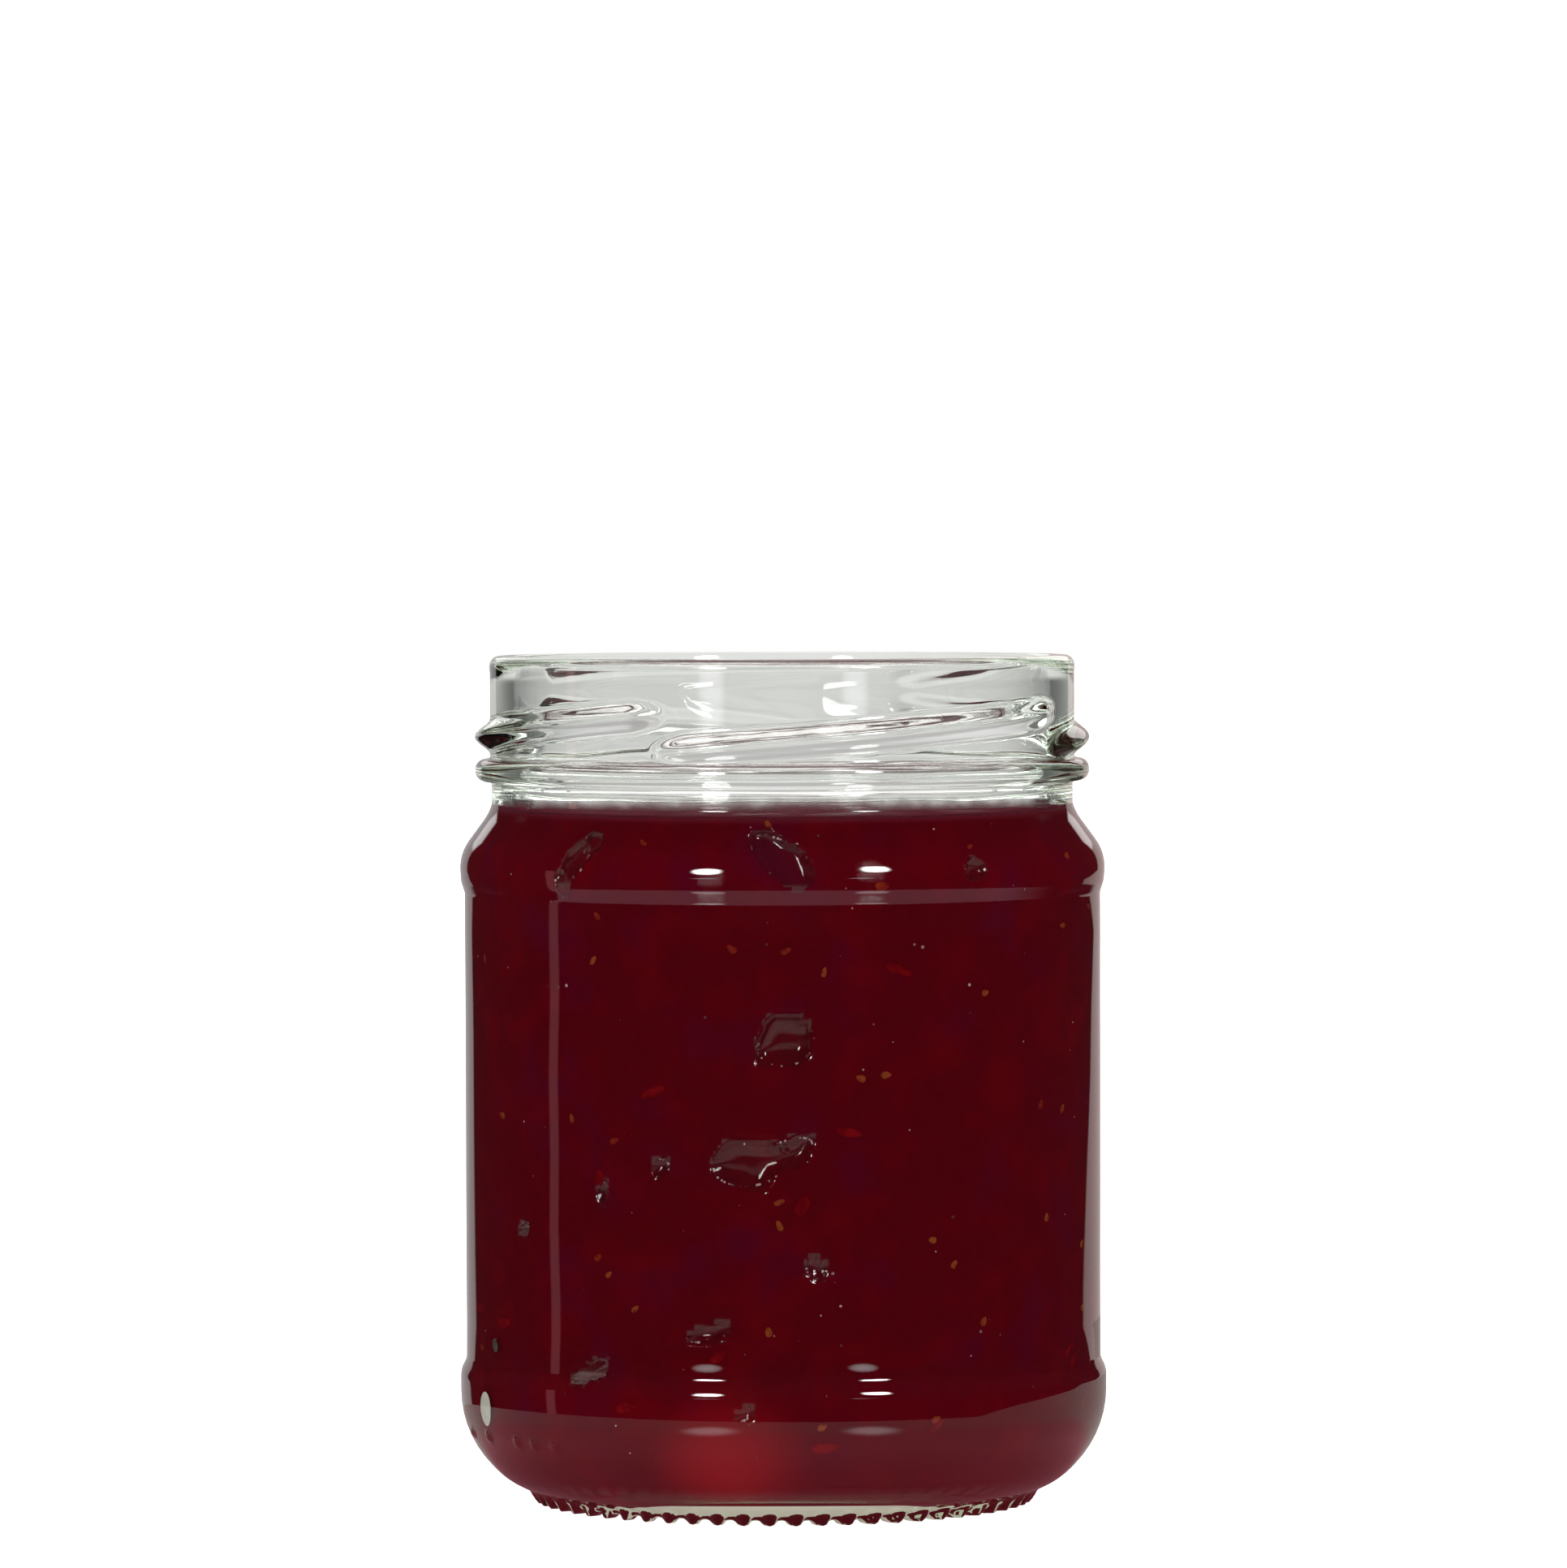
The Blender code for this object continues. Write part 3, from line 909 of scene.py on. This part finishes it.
top_rows = np.arange(len(jam_section)) >= len(jam_wall)
inward = np.clip(last_r - jam_r, 0, None) / MENISCUS_REACH
mounds = 0 * jam_r
for _ in range(MOUNDS):
    heading = random.uniform(0, math.tau)
    spread = random.uniform(*MOUND_SPREADS) * MM
    shift = random.uniform(0, math.tau)
    x, y, _z = around(jam_r, turns[None, :], 0.0)
    mounds += np.sin((x * math.cos(heading) + y * math.sin(heading)) * math.tau / spread + shift)
mounds *= MOUND_HEIGHT * np.clip(inward / MOUNDS_FROM, 0, 1)
sunk = MENISCUS * (1 - np.exp(-inward)) + mounds
jam_z = np.where(top_rows[:, None], jam_z - sunk, jam_z)
print("the top lies between", round(jam_z[top_rows].min() / MM, 2), "and",
      round(jam_z[top_rows].max() / MM, 2), "mm")

# %% [markdown]
# Here and there air was caught between the jam and the glass. Each pocket is a dent with a
# steep rim, which leaves a real gap: the bare glass in front of it mirrors, and the wet jam
# behind it glints. A pocket is an oval with an uneven outline, given by its place, its half
# width and half height, its lean and its depth.

# %% Press the air pockets into the jam
POCKETS = [  # azimuth, height, half width, half height, lean, depth
    (0.1, 68.5, 3.6, 1.6, -30, 1.1), (0.3, 50.4, 2.9, 2.5, 10, 1.3),
    (-6.5, 37.9, 3.6, 2.3, 5, 1.0), (-0.5, 38.6, 3.4, 1.3, 25, 0.8),
    (2.8, 39.9, 2.0, 0.6, 20, 0.7), (-41.5, 68.3, 1.8, 1.2, 40, 0.8),
    (-38.5, 69.8, 1.3, 1.0, 10, 0.6), (-44.0, 66.5, 1.0, 1.4, 0, 0.6),
    (37.9, 67.4, 1.3, 0.8, 0, 0.6), (-22.8, 37.4, 0.8, 0.8, 0, 0.6),
    (-35.1, 34.6, 0.6, 1.0, 0, 0.5), (6.2, 27.1, 1.1, 1.0, -40, 0.5),
    (-13.8, 20.4, 2.3, 0.7, 15, 0.5), (-37.9, 15.7, 2.6, 0.9, 25, 0.6),
    (-7.1, 12.2, 0.9, 0.5, 30, 0.5), (-55.6, 30.1, 0.9, 0.6, 20, 0.4)]
OTHER_POCKETS = 13
OTHER_PLACES = (75, 285), (12, 69)
OTHER_SIZES, OTHER_FLATNESS, OTHER_LEANS = (0.6, 1.9), (0.35, 0.9), (-60, 60)
OUTLINE_LOBES, OUTLINE_UNEVEN = (2, 3, 4), 0.07
STEEPNESS = 4


def somewhere(azimuths, heights):
    return random.uniform(*azimuths), random.uniform(*heights)


def scattered_pockets(count):
    """Pockets for the sides and the back of the jar."""
    for _ in range(count):
        size = random.uniform(*OTHER_SIZES)
        yield (*somewhere(*OTHER_PLACES), size, size * random.uniform(*OTHER_FLATNESS),
               random.uniform(*OTHER_LEANS), 0.4 + 0.25 * size)


depth = np.zeros_like(jam_r)
for degrees, middle, half_width, half_height, lean, deep in (
        POCKETS + list(scattered_pockets(OTHER_POCKETS))):
    aside = jam_r * signed_turn(turns - math.radians(degrees))[None, :]
    along, across = turned(aside, jam_z - middle * MM, math.radians(lean))
    bearing = np.arctan2(across, along)
    shifts = random.uniform(0, math.tau, len(OUTLINE_LOBES))
    uneven = sum(OUTLINE_UNEVEN * np.sin(lobes * bearing + shift)
                 for lobes, shift in zip(OUTLINE_LOBES, shifts))
    reach = np.hypot(along / (half_width * MM), across / (half_height * MM)) * (1 + uneven)
    depth = np.maximum(depth, deep * MM * np.sqrt(np.clip(1 - reach ** STEEPNESS, 0, 1)))
depth[top_rows] = 0
jam_r = jam_r - depth
print("deepest pocket:", round(depth.max() / MM, 2), "mm")

# %% [markdown]
# The jam is so dark that light hardly gets through it. Close to the glass it shows thin clouds
# of fruit pulp, a little redder or more purple than the rest, and a fine grain. Towards the
# bottom painted light makes it lighter, for light that comes in from below, and a painted red
# glow sits in one place there.

# %% Mix the jam's colour
WALL_R = 31.3 * MM            # inside of the glass
JAM_DEEP = (0.112, 0.0005, 0.0052)
JAM_RED = (0.145, 0.0007, 0.0050)
JAM_PURPLE = (0.105, 0.0012, 0.0150)
# pale tone of the fine grain, and painted light low in the jam
JAM_PALE_GRAIN_AND_LIGHT = (0.13, 0.0018, 0.006)
JAM_PAINTED_GLOW = (0.30, 0.005, 0.010)
BLACK = (0.0, 0.0, 0.0)
# size, detail, where a cloud begins and where it is full
RED_CLOUDS, PURPLE_CLOUDS = (5 * MM, 3.0, 0.45, 0.75), (8 * MM, 2.0, 0.5, 0.8)
FINE_GRAIN, GRAIN_SHARE = (0.9 * MM, 3.0, 0.5, 0.85), 0.45
# painted light: lighter patches near the bottom, and a painted red glow low in front
PAINTED_LIGHT_PATCHES, PAINTED_LIGHT_BELOW = (17 * MM, 1.0, 0.35, 0.7), (11 * MM, 3 * MM)
PAINTED_GLOW_PLACE = around(WALL_R, math.radians(-11), 6.5 * MM)
PAINTED_GLOW_REACH = (10 * MM, 1 * MM)


def cloud(tree, place, size, detail, start, end):
    """Soft clouds of a size, from 0 to 1."""
    return ease(tree, noise(tree, place, 1 / size, detail), start, end)


def jam_colour(tree, place, painted_shade=0.0):
    """The colour of the jam at a place, with painted light low down, mixed with black by painted
    shade.
    """
    low = ease(tree, part_of(tree, place, "Z"), *PAINTED_LIGHT_BELOW)
    colour = JAM_DEEP
    for share, other in (
            (cloud(tree, place, *RED_CLOUDS), JAM_RED),
            (cloud(tree, place, *PURPLE_CLOUDS), JAM_PURPLE),
            (times(tree, cloud(tree, place, *FINE_GRAIN), GRAIN_SHARE), JAM_PALE_GRAIN_AND_LIGHT),
            # painted light from below, and the painted glow
            (times(tree, cloud(tree, place, *PAINTED_LIGHT_PATCHES), low), JAM_PALE_GRAIN_AND_LIGHT),
            (ease(tree, distance(tree, place, PAINTED_GLOW_PLACE), *PAINTED_GLOW_REACH), JAM_PAINTED_GLOW),
            (painted_shade, BLACK)):
        colour = blend_colours(tree, share, colour, other)
    return colour


print("jam colours from", JAM_DEEP, "to", JAM_PAINTED_GLOW)

# %% [markdown]
# Above the jam's level its material thins out to a film, with a ragged upper edge that sinks a
# little towards the back. The film is made by fading the material out.

# %% Thin the jam out to a film
FILM_FROM, FILM_TO = 73.6 * MM, 75.5 * MM
FILM_MOST = 0.82
FILM_COLOUR = (0.19, 0.025, 0.045)
FILM_RAGGED = 1.2 * MM
FILM_BLOTCH = 2.5 * MM
FILM_LEAN = 1.0 / 28.0        # height lost on the way to the back
LEAN_START = -28.0 * MM
SOLID_FADE, COLOUR_FADE = (72.9 * MM, 72.6 * MM), (71.8 * MM, 73.4 * MM)

wall_jam, tree, shader = new_material("jam_on_glass")
place = place_on(tree)
x, y, z = (part_of(tree, place, axis) for axis in "XYZ")
ragged = noise(tree, place, 1 / FILM_BLOTCH, 4.0)
lifted = calc(tree, "MULTIPLY_ADD", ragged, FILM_RAGGED, z)
to_back = calc(tree, "MAXIMUM", calc(tree, "SUBTRACT", y, LEAN_START), 0.0)
lifted = calc(tree, "MULTIPLY_ADD", to_back, FILM_LEAN, lifted)
film = ease(tree, lifted, FILM_TO + FILM_RAGGED / 2, FILM_FROM + FILM_RAGGED / 2)
solid = ease(tree, z, *SOLID_FADE)
fill(shader, Alpha=calc(tree, "MAXIMUM", times(tree, film, FILM_MOST), solid))
thinned = ease(tree, z, *COLOUR_FADE)
colour = blend_colours(tree, thinned, jam_colour(tree, place), FILM_COLOUR)
print("film fades out between", round(FILM_FROM / MM, 1), "and", round(FILM_TO / MM, 1), "mm")

# %% [markdown]
# In a ring round the bottom the jam's colour is painted pale: painted light that stands for the
# clear strip low in the heel, where light runs through the thick glass under the jam. The ring
# is wide in front and behind, and narrow at the sides.

# %% Paint the pale ring of light
STRIP_INNER_R, STRIP_OUTER_R = 12.5 * MM, 24.2 * MM
STRIP_TAPER = 5.5 * MM          # the way that either edge goes at the sides
OUTER_TAPERS = (11 * MM, 22 * MM)  # distances to the side where it starts and ends
INNER_TAPERS = (8 * MM, 17 * MM)
# painted light: the pale colour of the clear strip
PAINTED_LIGHT_PALE = (0.83, 0.79, 0.68)
BOTTOM_Z = 8.0 * MM

from_axis = calc(tree, "SQRT", calc(tree, "ADD", times(tree, x, x), times(tree, y, y)))
aside = calc(tree, "ABSOLUTE", x)
outer_edge = calc(
    tree, "MULTIPLY_ADD", ease(tree, aside, *OUTER_TAPERS), -STRIP_TAPER, STRIP_OUTER_R)
inner_edge = calc(
    tree, "MULTIPLY_ADD", ease(tree, aside, *INNER_TAPERS), STRIP_TAPER, STRIP_INNER_R)
in_painted_strip = times(tree, calc(tree, "LESS_THAN", z, BOTTOM_Z),
               calc(tree, "GREATER_THAN", from_axis, inner_edge),
               calc(tree, "LESS_THAN", from_axis, outer_edge))
fill(shader, Base_Color=blend_colours(tree, in_painted_strip, colour, PAINTED_LIGHT_PALE))
print("pale ring from", STRIP_INNER_R / MM, "to", STRIP_OUTER_R / MM, "mm")

# %% [markdown]
# Where the jam lies on glass it has no shine of its own, because glass and jam bend light almost
# alike. Only light that comes in very flat is turned back as by a mirror, which makes the thick
# glass under the jam bright beyond the ring of painted light. The Fresnel node gives exactly
# that share, from the ratio of the two indices.

# %% Turn flat light back where the jam lies on glass
JAM_PER_GLASS = 0.93          # index of jam over index of glass
MIRROR_FADE = 2 * MM          # width of the step from the ring to the mirror

fill(shader, Roughness=0.6, Specular_IOR_Level=0.0)
mirror = fill(add_node(tree, "ShaderNodeBsdfAnisotropic"), Roughness=0.0)
flat_light = fill(add_node(tree, "ShaderNodeFresnel"), IOR=JAM_PER_GLASS).outputs[0]
on_side = ease(tree, from_axis, STRIP_OUTER_R, STRIP_OUTER_R + MIRROR_FADE)
either = add_node(tree, "ShaderNodeMixShader")
for socket, value in zip(either.inputs, (
        times(tree, flat_light, on_side), shader.outputs[0], mirror.outputs[0])):
    plug(socket, value)
fill(tree.nodes["Material Output"], Surface=either.outputs[0])
print("nodes of", wall_jam.name + ":", len(tree.nodes))

# %% [markdown]
# The open faces of the jam are wet and do shine. In a pocket the jam set against smooth air, so
# it is almost a mirror. On top it cooled more slowly and has a finer, softer gloss.

# %% Mix the open jam
PULP_STRENGTH = 0.4


def open_jam(name, painted_shade, index, roughness, bump_size, bump_height):
    material, tree, shader = new_material(name)
    place = place_on(tree)
    fill(shader, Base_Color=jam_colour(tree, place, painted_shade), Roughness=roughness, IOR=index)
    roughen(tree, shader, noise(tree, place, 1 / bump_size), PULP_STRENGTH, bump_height)
    return material


# painted shade: the open jam is a darker copy of the jam's colour, a tenth black in the pockets
# and half black on top
pocket_jam = open_jam("jam_in_pockets", painted_shade=0.1, index=1.42, roughness=0.08,
                      bump_size=1.6 * MM, bump_height=0.04 * MM)
top_jam = open_jam("jam_on_top", painted_shade=0.5, index=1.6, roughness=0.06,
                   bump_size=2.0 * MM, bump_height=0.02 * MM)
print("jam materials:", wall_jam.name, pocket_jam.name, top_jam.name)

# %% [markdown]
# A face is open when it lies on top or in a pocket, and gets one of the wet finishes.

# %% Build the jam


def faces_touching(points):
    """Faces of the net with at least one corner among the points."""
    touching = points[1:-2] | points[2:-1]
    return touching | np.roll(touching, -1, axis=1)


in_pocket = faces_touching(depth > INTO_GLASS)
inner_top = np.arange(len(jam_section)) >= len(jam_wall) + FILM_ROWS
on_top = faces_touching(np.repeat(inner_top[:, None], COLUMNS, axis=1))
slots = np.where(on_top, 2, np.where(in_pocket, 1, 0)).ravel()
slots = np.concatenate([np.zeros(COLUMNS), slots, np.full(COLUMNS, 2)]).astype(np.int32)
jam = net_object("jam_fill", jam_r, jam_z, [wall_jam, pocket_jam, top_jam], slots)
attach(jam, "root")
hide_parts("jam")
print("faces in pockets:", int(in_pocket.sum()), "and on top:", int(on_top.sum()))

# %% [markdown]
# Seeds, bubbles and bits of fruit are small closed meshes at their true size. Each kind is one
# piece, whose members all come from one shape: a ball of a few rings, stretched to a half
# length, a half width and a half thickness, pointed a little at one end, and laid against the
# glass with its own turn.

# %% The points and faces of one small shape
ABOVE_HEEL = 3.0 * MM
side_r, side_z = jam_wall[jam_wall[:, 1] > ABOVE_HEEL].T
UP = Vector((0.0, 0.0, 1.0))


def shape_points(member, rings, lobes, pointed, off_wall):
    """A member is an angle, a height, three half sizes, a turn and a lumpiness (mm, degrees)."""
    angle, height, length, width, thickness, turn, lumpy = member
    angle, turn, height = math.radians(angle), math.radians(turn), height * MM
    wall_r = float(np.interp(height, side_z, side_r))
    middle = Vector(around(wall_r + off_wall, angle, height))
    out = Vector(around(1.0, angle, 0.0)) * (thickness * MM)
    side = Vector((math.cos(angle), math.sin(angle), 0.0))
    long_way, wide_way = turned(side, UP, turn)
    long_way, wide_way = long_way * (length * MM), wide_way * (width * MM)
    shifts = random.uniform(0, math.tau, 2)
    for ring in range(1, rings):
        polar = math.pi * ring / rings
        waist = math.sin(polar) * (1 - pointed * math.cos(polar))
        lump = lumpy * math.sin(2 * polar + shifts[0])
        for lobe in range(lobes):
            round_it = math.tau * lobe / lobes
            uneven = 1 + lump * math.cos(2 * round_it + shifts[1])
            yield (middle + long_way * math.cos(polar)
                   + wide_way * (waist * uneven * math.cos(round_it))
                   + out * (waist * math.sin(round_it)))
    yield middle + long_way
    yield middle - long_way


def shape_faces(first, rings, lobes):
    """The faces of a member whose points start at number first."""
    last = first + (rings - 2) * lobes
    top, end = last + lobes, last + lobes + 1
    for lobe in range(lobes):
        following = (lobe + 1) % lobes
        yield top, first + following, first + lobe
        yield end, last + lobe, last + following
        for low in range(first, last, lobes):
            high = low + lobes
            yield low + lobe, low + following, high + following, high + lobe


print("the side of the jam is known at", len(side_z), "heights")

# %% [markdown]
# All members of a kind are joined in one mesh, which rides on the jar's body. Each member is
# half sunk in the jam, so that none of them floats, or is moved off its wall into the glass.

# %% Lay small shapes against the glass


def small_shapes(
        name, members, material, rings, pointed=0.0, off_wall=0.0, lobes=10):
    points, faces = [], []
    for member in members:
        faces += shape_faces(len(points), rings, lobes)
        points += shape_points(member, rings, lobes, pointed, off_wall)
    made = mesh_object(name, points, faces, [material])
    made.data.shade_smooth()
    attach(made, "root")
    triangles = sum(len(face) - 2 for face in faces)
    print(name, "has", len(members), "members and", triangles, "triangles")


def matt_skin(name, roughness):
    """A material without shine for something that lies behind glass."""
    skin, tree, shader = new_material(name)
    fill(shader, Roughness=roughness, Specular_IOR_Level=0.0)
    return skin, tree, shader, place_on(tree)


print("small shapes and their skins are ready to be laid")

# %% [markdown]
# Raspberry seeds are drops a little over a millimetre long, orange to brown. Those close to the
# glass show through it; the others are hidden in the dark jam, so only the first are built.

# %% Scatter the seeds
SEEDS = [  # azimuth and height of the ones in front
    (-27.2, 69.9), (-36.2, 63.0), (-37.1, 58.4), (-9.3, 59.8), (0.6, 59.6), (7.6, 57.4),
    (-2.8, 72.0), (37.7, 69.3), (40.2, 54.9), (14.4, 46.5), (19.2, 46.8), (55.2, 43.0),
    (-42.3, 42.0), (-32.5, 39.9), (-28.2, 22.7), (-33.8, 26.1), (-36.2, 27.8), (-0.7, 33.9),
    (-0.7, 31.5), (-2.7, 20.6), (33.0, 27.1), (57.0, 31.2), (39.7, 21.0), (28.8, 11.3),
    (7.0, 10.9), (28.4, 29.7)]
BIG_SEED = (18.4, 66.2, 0.75, 0.5, 0.2, 10.0, 0.1)
OTHER_SEEDS, SEED_PLACES = 60, ((62, 298), (9, 71))
SEED_ORANGE = (0.31, 0.062, 0.018)
SEED_BROWN = (0.25, 0.018, 0.010)
SEED_CLOUDS, SEED_GRAIN = (7 * MM, 0.0, 0.42, 0.58), (0.5 * MM, 2.0, 0.45, 0.8)
SEED_LUMPY = 0.08


def seed(angle, height):
    return (angle, height, random.uniform(0.45, 0.6), random.uniform(0.28, 0.4),
            random.uniform(0.12, 0.2), random.uniform(0, 180), SEED_LUMPY)


members = [BIG_SEED] + [seed(*where) for where in SEEDS]
for _ in range(OTHER_SEEDS):
    members.append(seed(*somewhere(*SEED_PLACES)))

seed_skin, tree, shader, place = matt_skin("seed_skin", 0.5)
colour = blend_colours(tree, cloud(tree, place, *SEED_CLOUDS), SEED_ORANGE, SEED_BROWN)
colour = blend_colours(tree, cloud(tree, place, *SEED_GRAIN), colour, JAM_PALE_GRAIN_AND_LIGHT)
fill(shader, Base_Color=colour)
small_shapes("jam_seeds", members, seed_skin, rings=7, pointed=0.25)

# %% [markdown]
# Bits of crushed fruit lie flat against the glass, redder than the jam round them and without
# sharp edges. They are wider and lumpier than the seeds.

# %% Scatter the fruit bits
FRUIT = [  # azimuth, height, half length, half width, turn
    (-24.5, 45.0, 1.5, 0.6, 20.0), (3.5, 33.5, 1.1, 0.8, 60.0), (12.0, 41.0, 1.4, 0.5, -10.0),
    (-30.0, 12.5, 1.2, 0.5, 10.0), (8.0, 9.0, 1.6, 0.6, 5.0), (-12.0, 18.0, 1.0, 0.5, 40.0),
    (22.0, 57.5, 1.5, 0.6, -20.0), (-36.0, 36.0, 0.9, 0.6, 80.0), (28.5, 10.6, 1.3, 0.4, 35.0)]
OTHER_FRUIT, FRUIT_PLACES = 26, ((60, 300), (8, 70))
FRUIT_RED = (0.24, 0.0035, 0.007)
FRUIT_CLOUDS = (1.2 * MM, 3.0, 0.35, 0.7)
FRUIT_THICKNESS, FRUIT_LUMPY = 0.13, 0.3


def fruit_bit(angle, height, length, width, turn):
    return angle, height, length, width, FRUIT_THICKNESS, turn, FRUIT_LUMPY


members = [fruit_bit(*numbers) for numbers in FRUIT]
for _ in range(OTHER_FRUIT):
    members.append(fruit_bit(
        *somewhere(*FRUIT_PLACES), random.uniform(0.8, 1.8), random.uniform(0.4, 0.9),
        random.uniform(0, 180)))

fruit_skin, tree, shader, place = matt_skin("fruit_skin", 0.6)
colour = blend_colours(tree, cloud(tree, place, *FRUIT_CLOUDS), JAM_RED, FRUIT_RED)
fill(shader, Base_Color=colour)
small_shapes("fruit_bits", members, fruit_skin, rings=8, pointed=0.15)

# %% [markdown]
# Air bubbles stuck to the glass mirror their surroundings, so each carries a tiny spark of
# every lamp. They are drawn as flat domes with a smooth finish, whose colour is a painted
# reflection of the studio, some dark and some pale.

# %% Scatter the bubbles
BUBBLES = [  # azimuth, height, half width
    (-45.5, 55.5, 0.28), (-43.5, 55.7, 0.25), (-47.5, 64.5, 0.22), (-14.3, 52.8, 0.26),
    (-2.9, 60.3, 0.22), (26.5, 59.8, 0.28), (24.8, 60.1, 0.20), (36.5, 55.8, 0.24),
    (7.5, 26.6, 0.26), (9.0, 26.6, 0.26), (10.5, 23.2, 0.20), (10.6, 19.2, 0.22),
    (39.0, 20.0, 0.24), (-14.8, 6.0, 0.24), (-17.5, 3.9, 0.22), (32.8, 32.0, 0.24)]
BUBBLE_SHARE = 0.75           # share of a bubble's width that shines
OTHER_BUBBLES, BUBBLE_PLACES = 170, ((-180, 180), (5, 72))
DOME = 0.5                    # half thickness of a bubble over its half width


def bubble(angle, height, size, narrow=1.0, dome=DOME, turn=0.0):
    return angle, height, size, size * narrow, dome * size, turn, 0.0


members = [bubble(angle, height, BUBBLE_SHARE * size, dome=DOME / BUBBLE_SHARE)
           for angle, height, size in BUBBLES]
for _ in range(OTHER_BUBBLES):
    size = random.uniform(0.05, 0.13)
    members.append(bubble(
        *somewhere(*BUBBLE_PLACES), size,
        narrow=random.uniform(0.7, 1.0), turn=random.uniform(0, 180)))
print("bubbles:", len(members))

# %% [markdown]
# Froth gathers along the rims of the air pockets, in short uneven strings.

# %% Add the froth and build the bubbles
FROTH_PER_MM = 1.1
FROTH_SPREAD = 0.9            # radians along the rim
FROTH_REACH = 1.02            # just outside the rim
FROTH_DOME = 0.7
# painted reflection: the colours that the bubbles mirror
BUBBLE_CLOUDS = (2 * MM, 1.0, 0.47, 0.66)
BUBBLE_DARK = (0.15, 0.02, 0.035)
BUBBLE_PALE_REFLECTION = (0.62, 0.40, 0.43)

for degrees, middle, half_width, half_height, lean, _deep in POCKETS:
    string = random.uniform(0, math.tau)
    for _ in range(round(FROTH_PER_MM * math.pi * (half_width + half_height))):
        bearing = string + random.normal() * FROTH_SPREAD
        aside, up = turned(FROTH_REACH * half_width * math.cos(bearing),
                           FROTH_REACH * half_height * math.sin(bearing), -math.radians(lean))
        members.append(bubble(
            degrees + math.degrees(aside * MM / WALL_R), middle + up,
            random.uniform(0.06, 0.16), dome=FROTH_DOME))

bubble_skin, tree, shader = new_material("bubble_skin")
reflection_mix = cloud(tree, place_on(tree), *BUBBLE_CLOUDS)
fill(shader, Base_Color=blend_colours(tree, reflection_mix, BUBBLE_DARK, BUBBLE_PALE_REFLECTION), Roughness=0.12)
small_shapes("air_bubbles", members, bubble_skin, rings=6)

# %% [markdown]
# Two flat blisters are frozen into the glass itself, low on the left. A blister is a thin lens
# of air. Seen this obliquely it mirrors the studio and hides what lies behind it, so a smooth
# finish in the colour that it mirrors stands for it: the lower one is pale, the upper one dark.

# %% Freeze the blisters into the glass
BLISTERS = [  # the lower and the upper one
    (-68.5, 11.0, 1.65, 1.35, 0.12, 88.0, 0.0), (-65.5, 17.6, 0.75, 0.62, 0.10, 115.0, 0.0)]
IN_THE_WALL = 0.8 * MM
BLISTER_PALES = (0.66, 0.64, 0.55), (0.74, 0.72, 0.64)
BLISTER_DARK = (0.085, 0.065, 0.055)
BLISTER_CLOUDS = (1.5 * MM, 1.0, 0.3, 0.7)
UPPER_FADE = (13 * MM, 14 * MM)

blister_skin, tree, shader = new_material("blister_skin")
place = place_on(tree)
pale = blend_colours(tree, cloud(tree, place, *BLISTER_CLOUDS), *BLISTER_PALES)
upper = ease(tree, part_of(tree, place, "Z"), *UPPER_FADE)
fill(shader, Base_Color=blend_colours(tree, upper, pale, BLISTER_DARK), Roughness=0.2)
small_shapes("glass_blisters", BLISTERS, blister_skin, rings=24,
             off_wall=IN_THE_WALL, lobes=40)
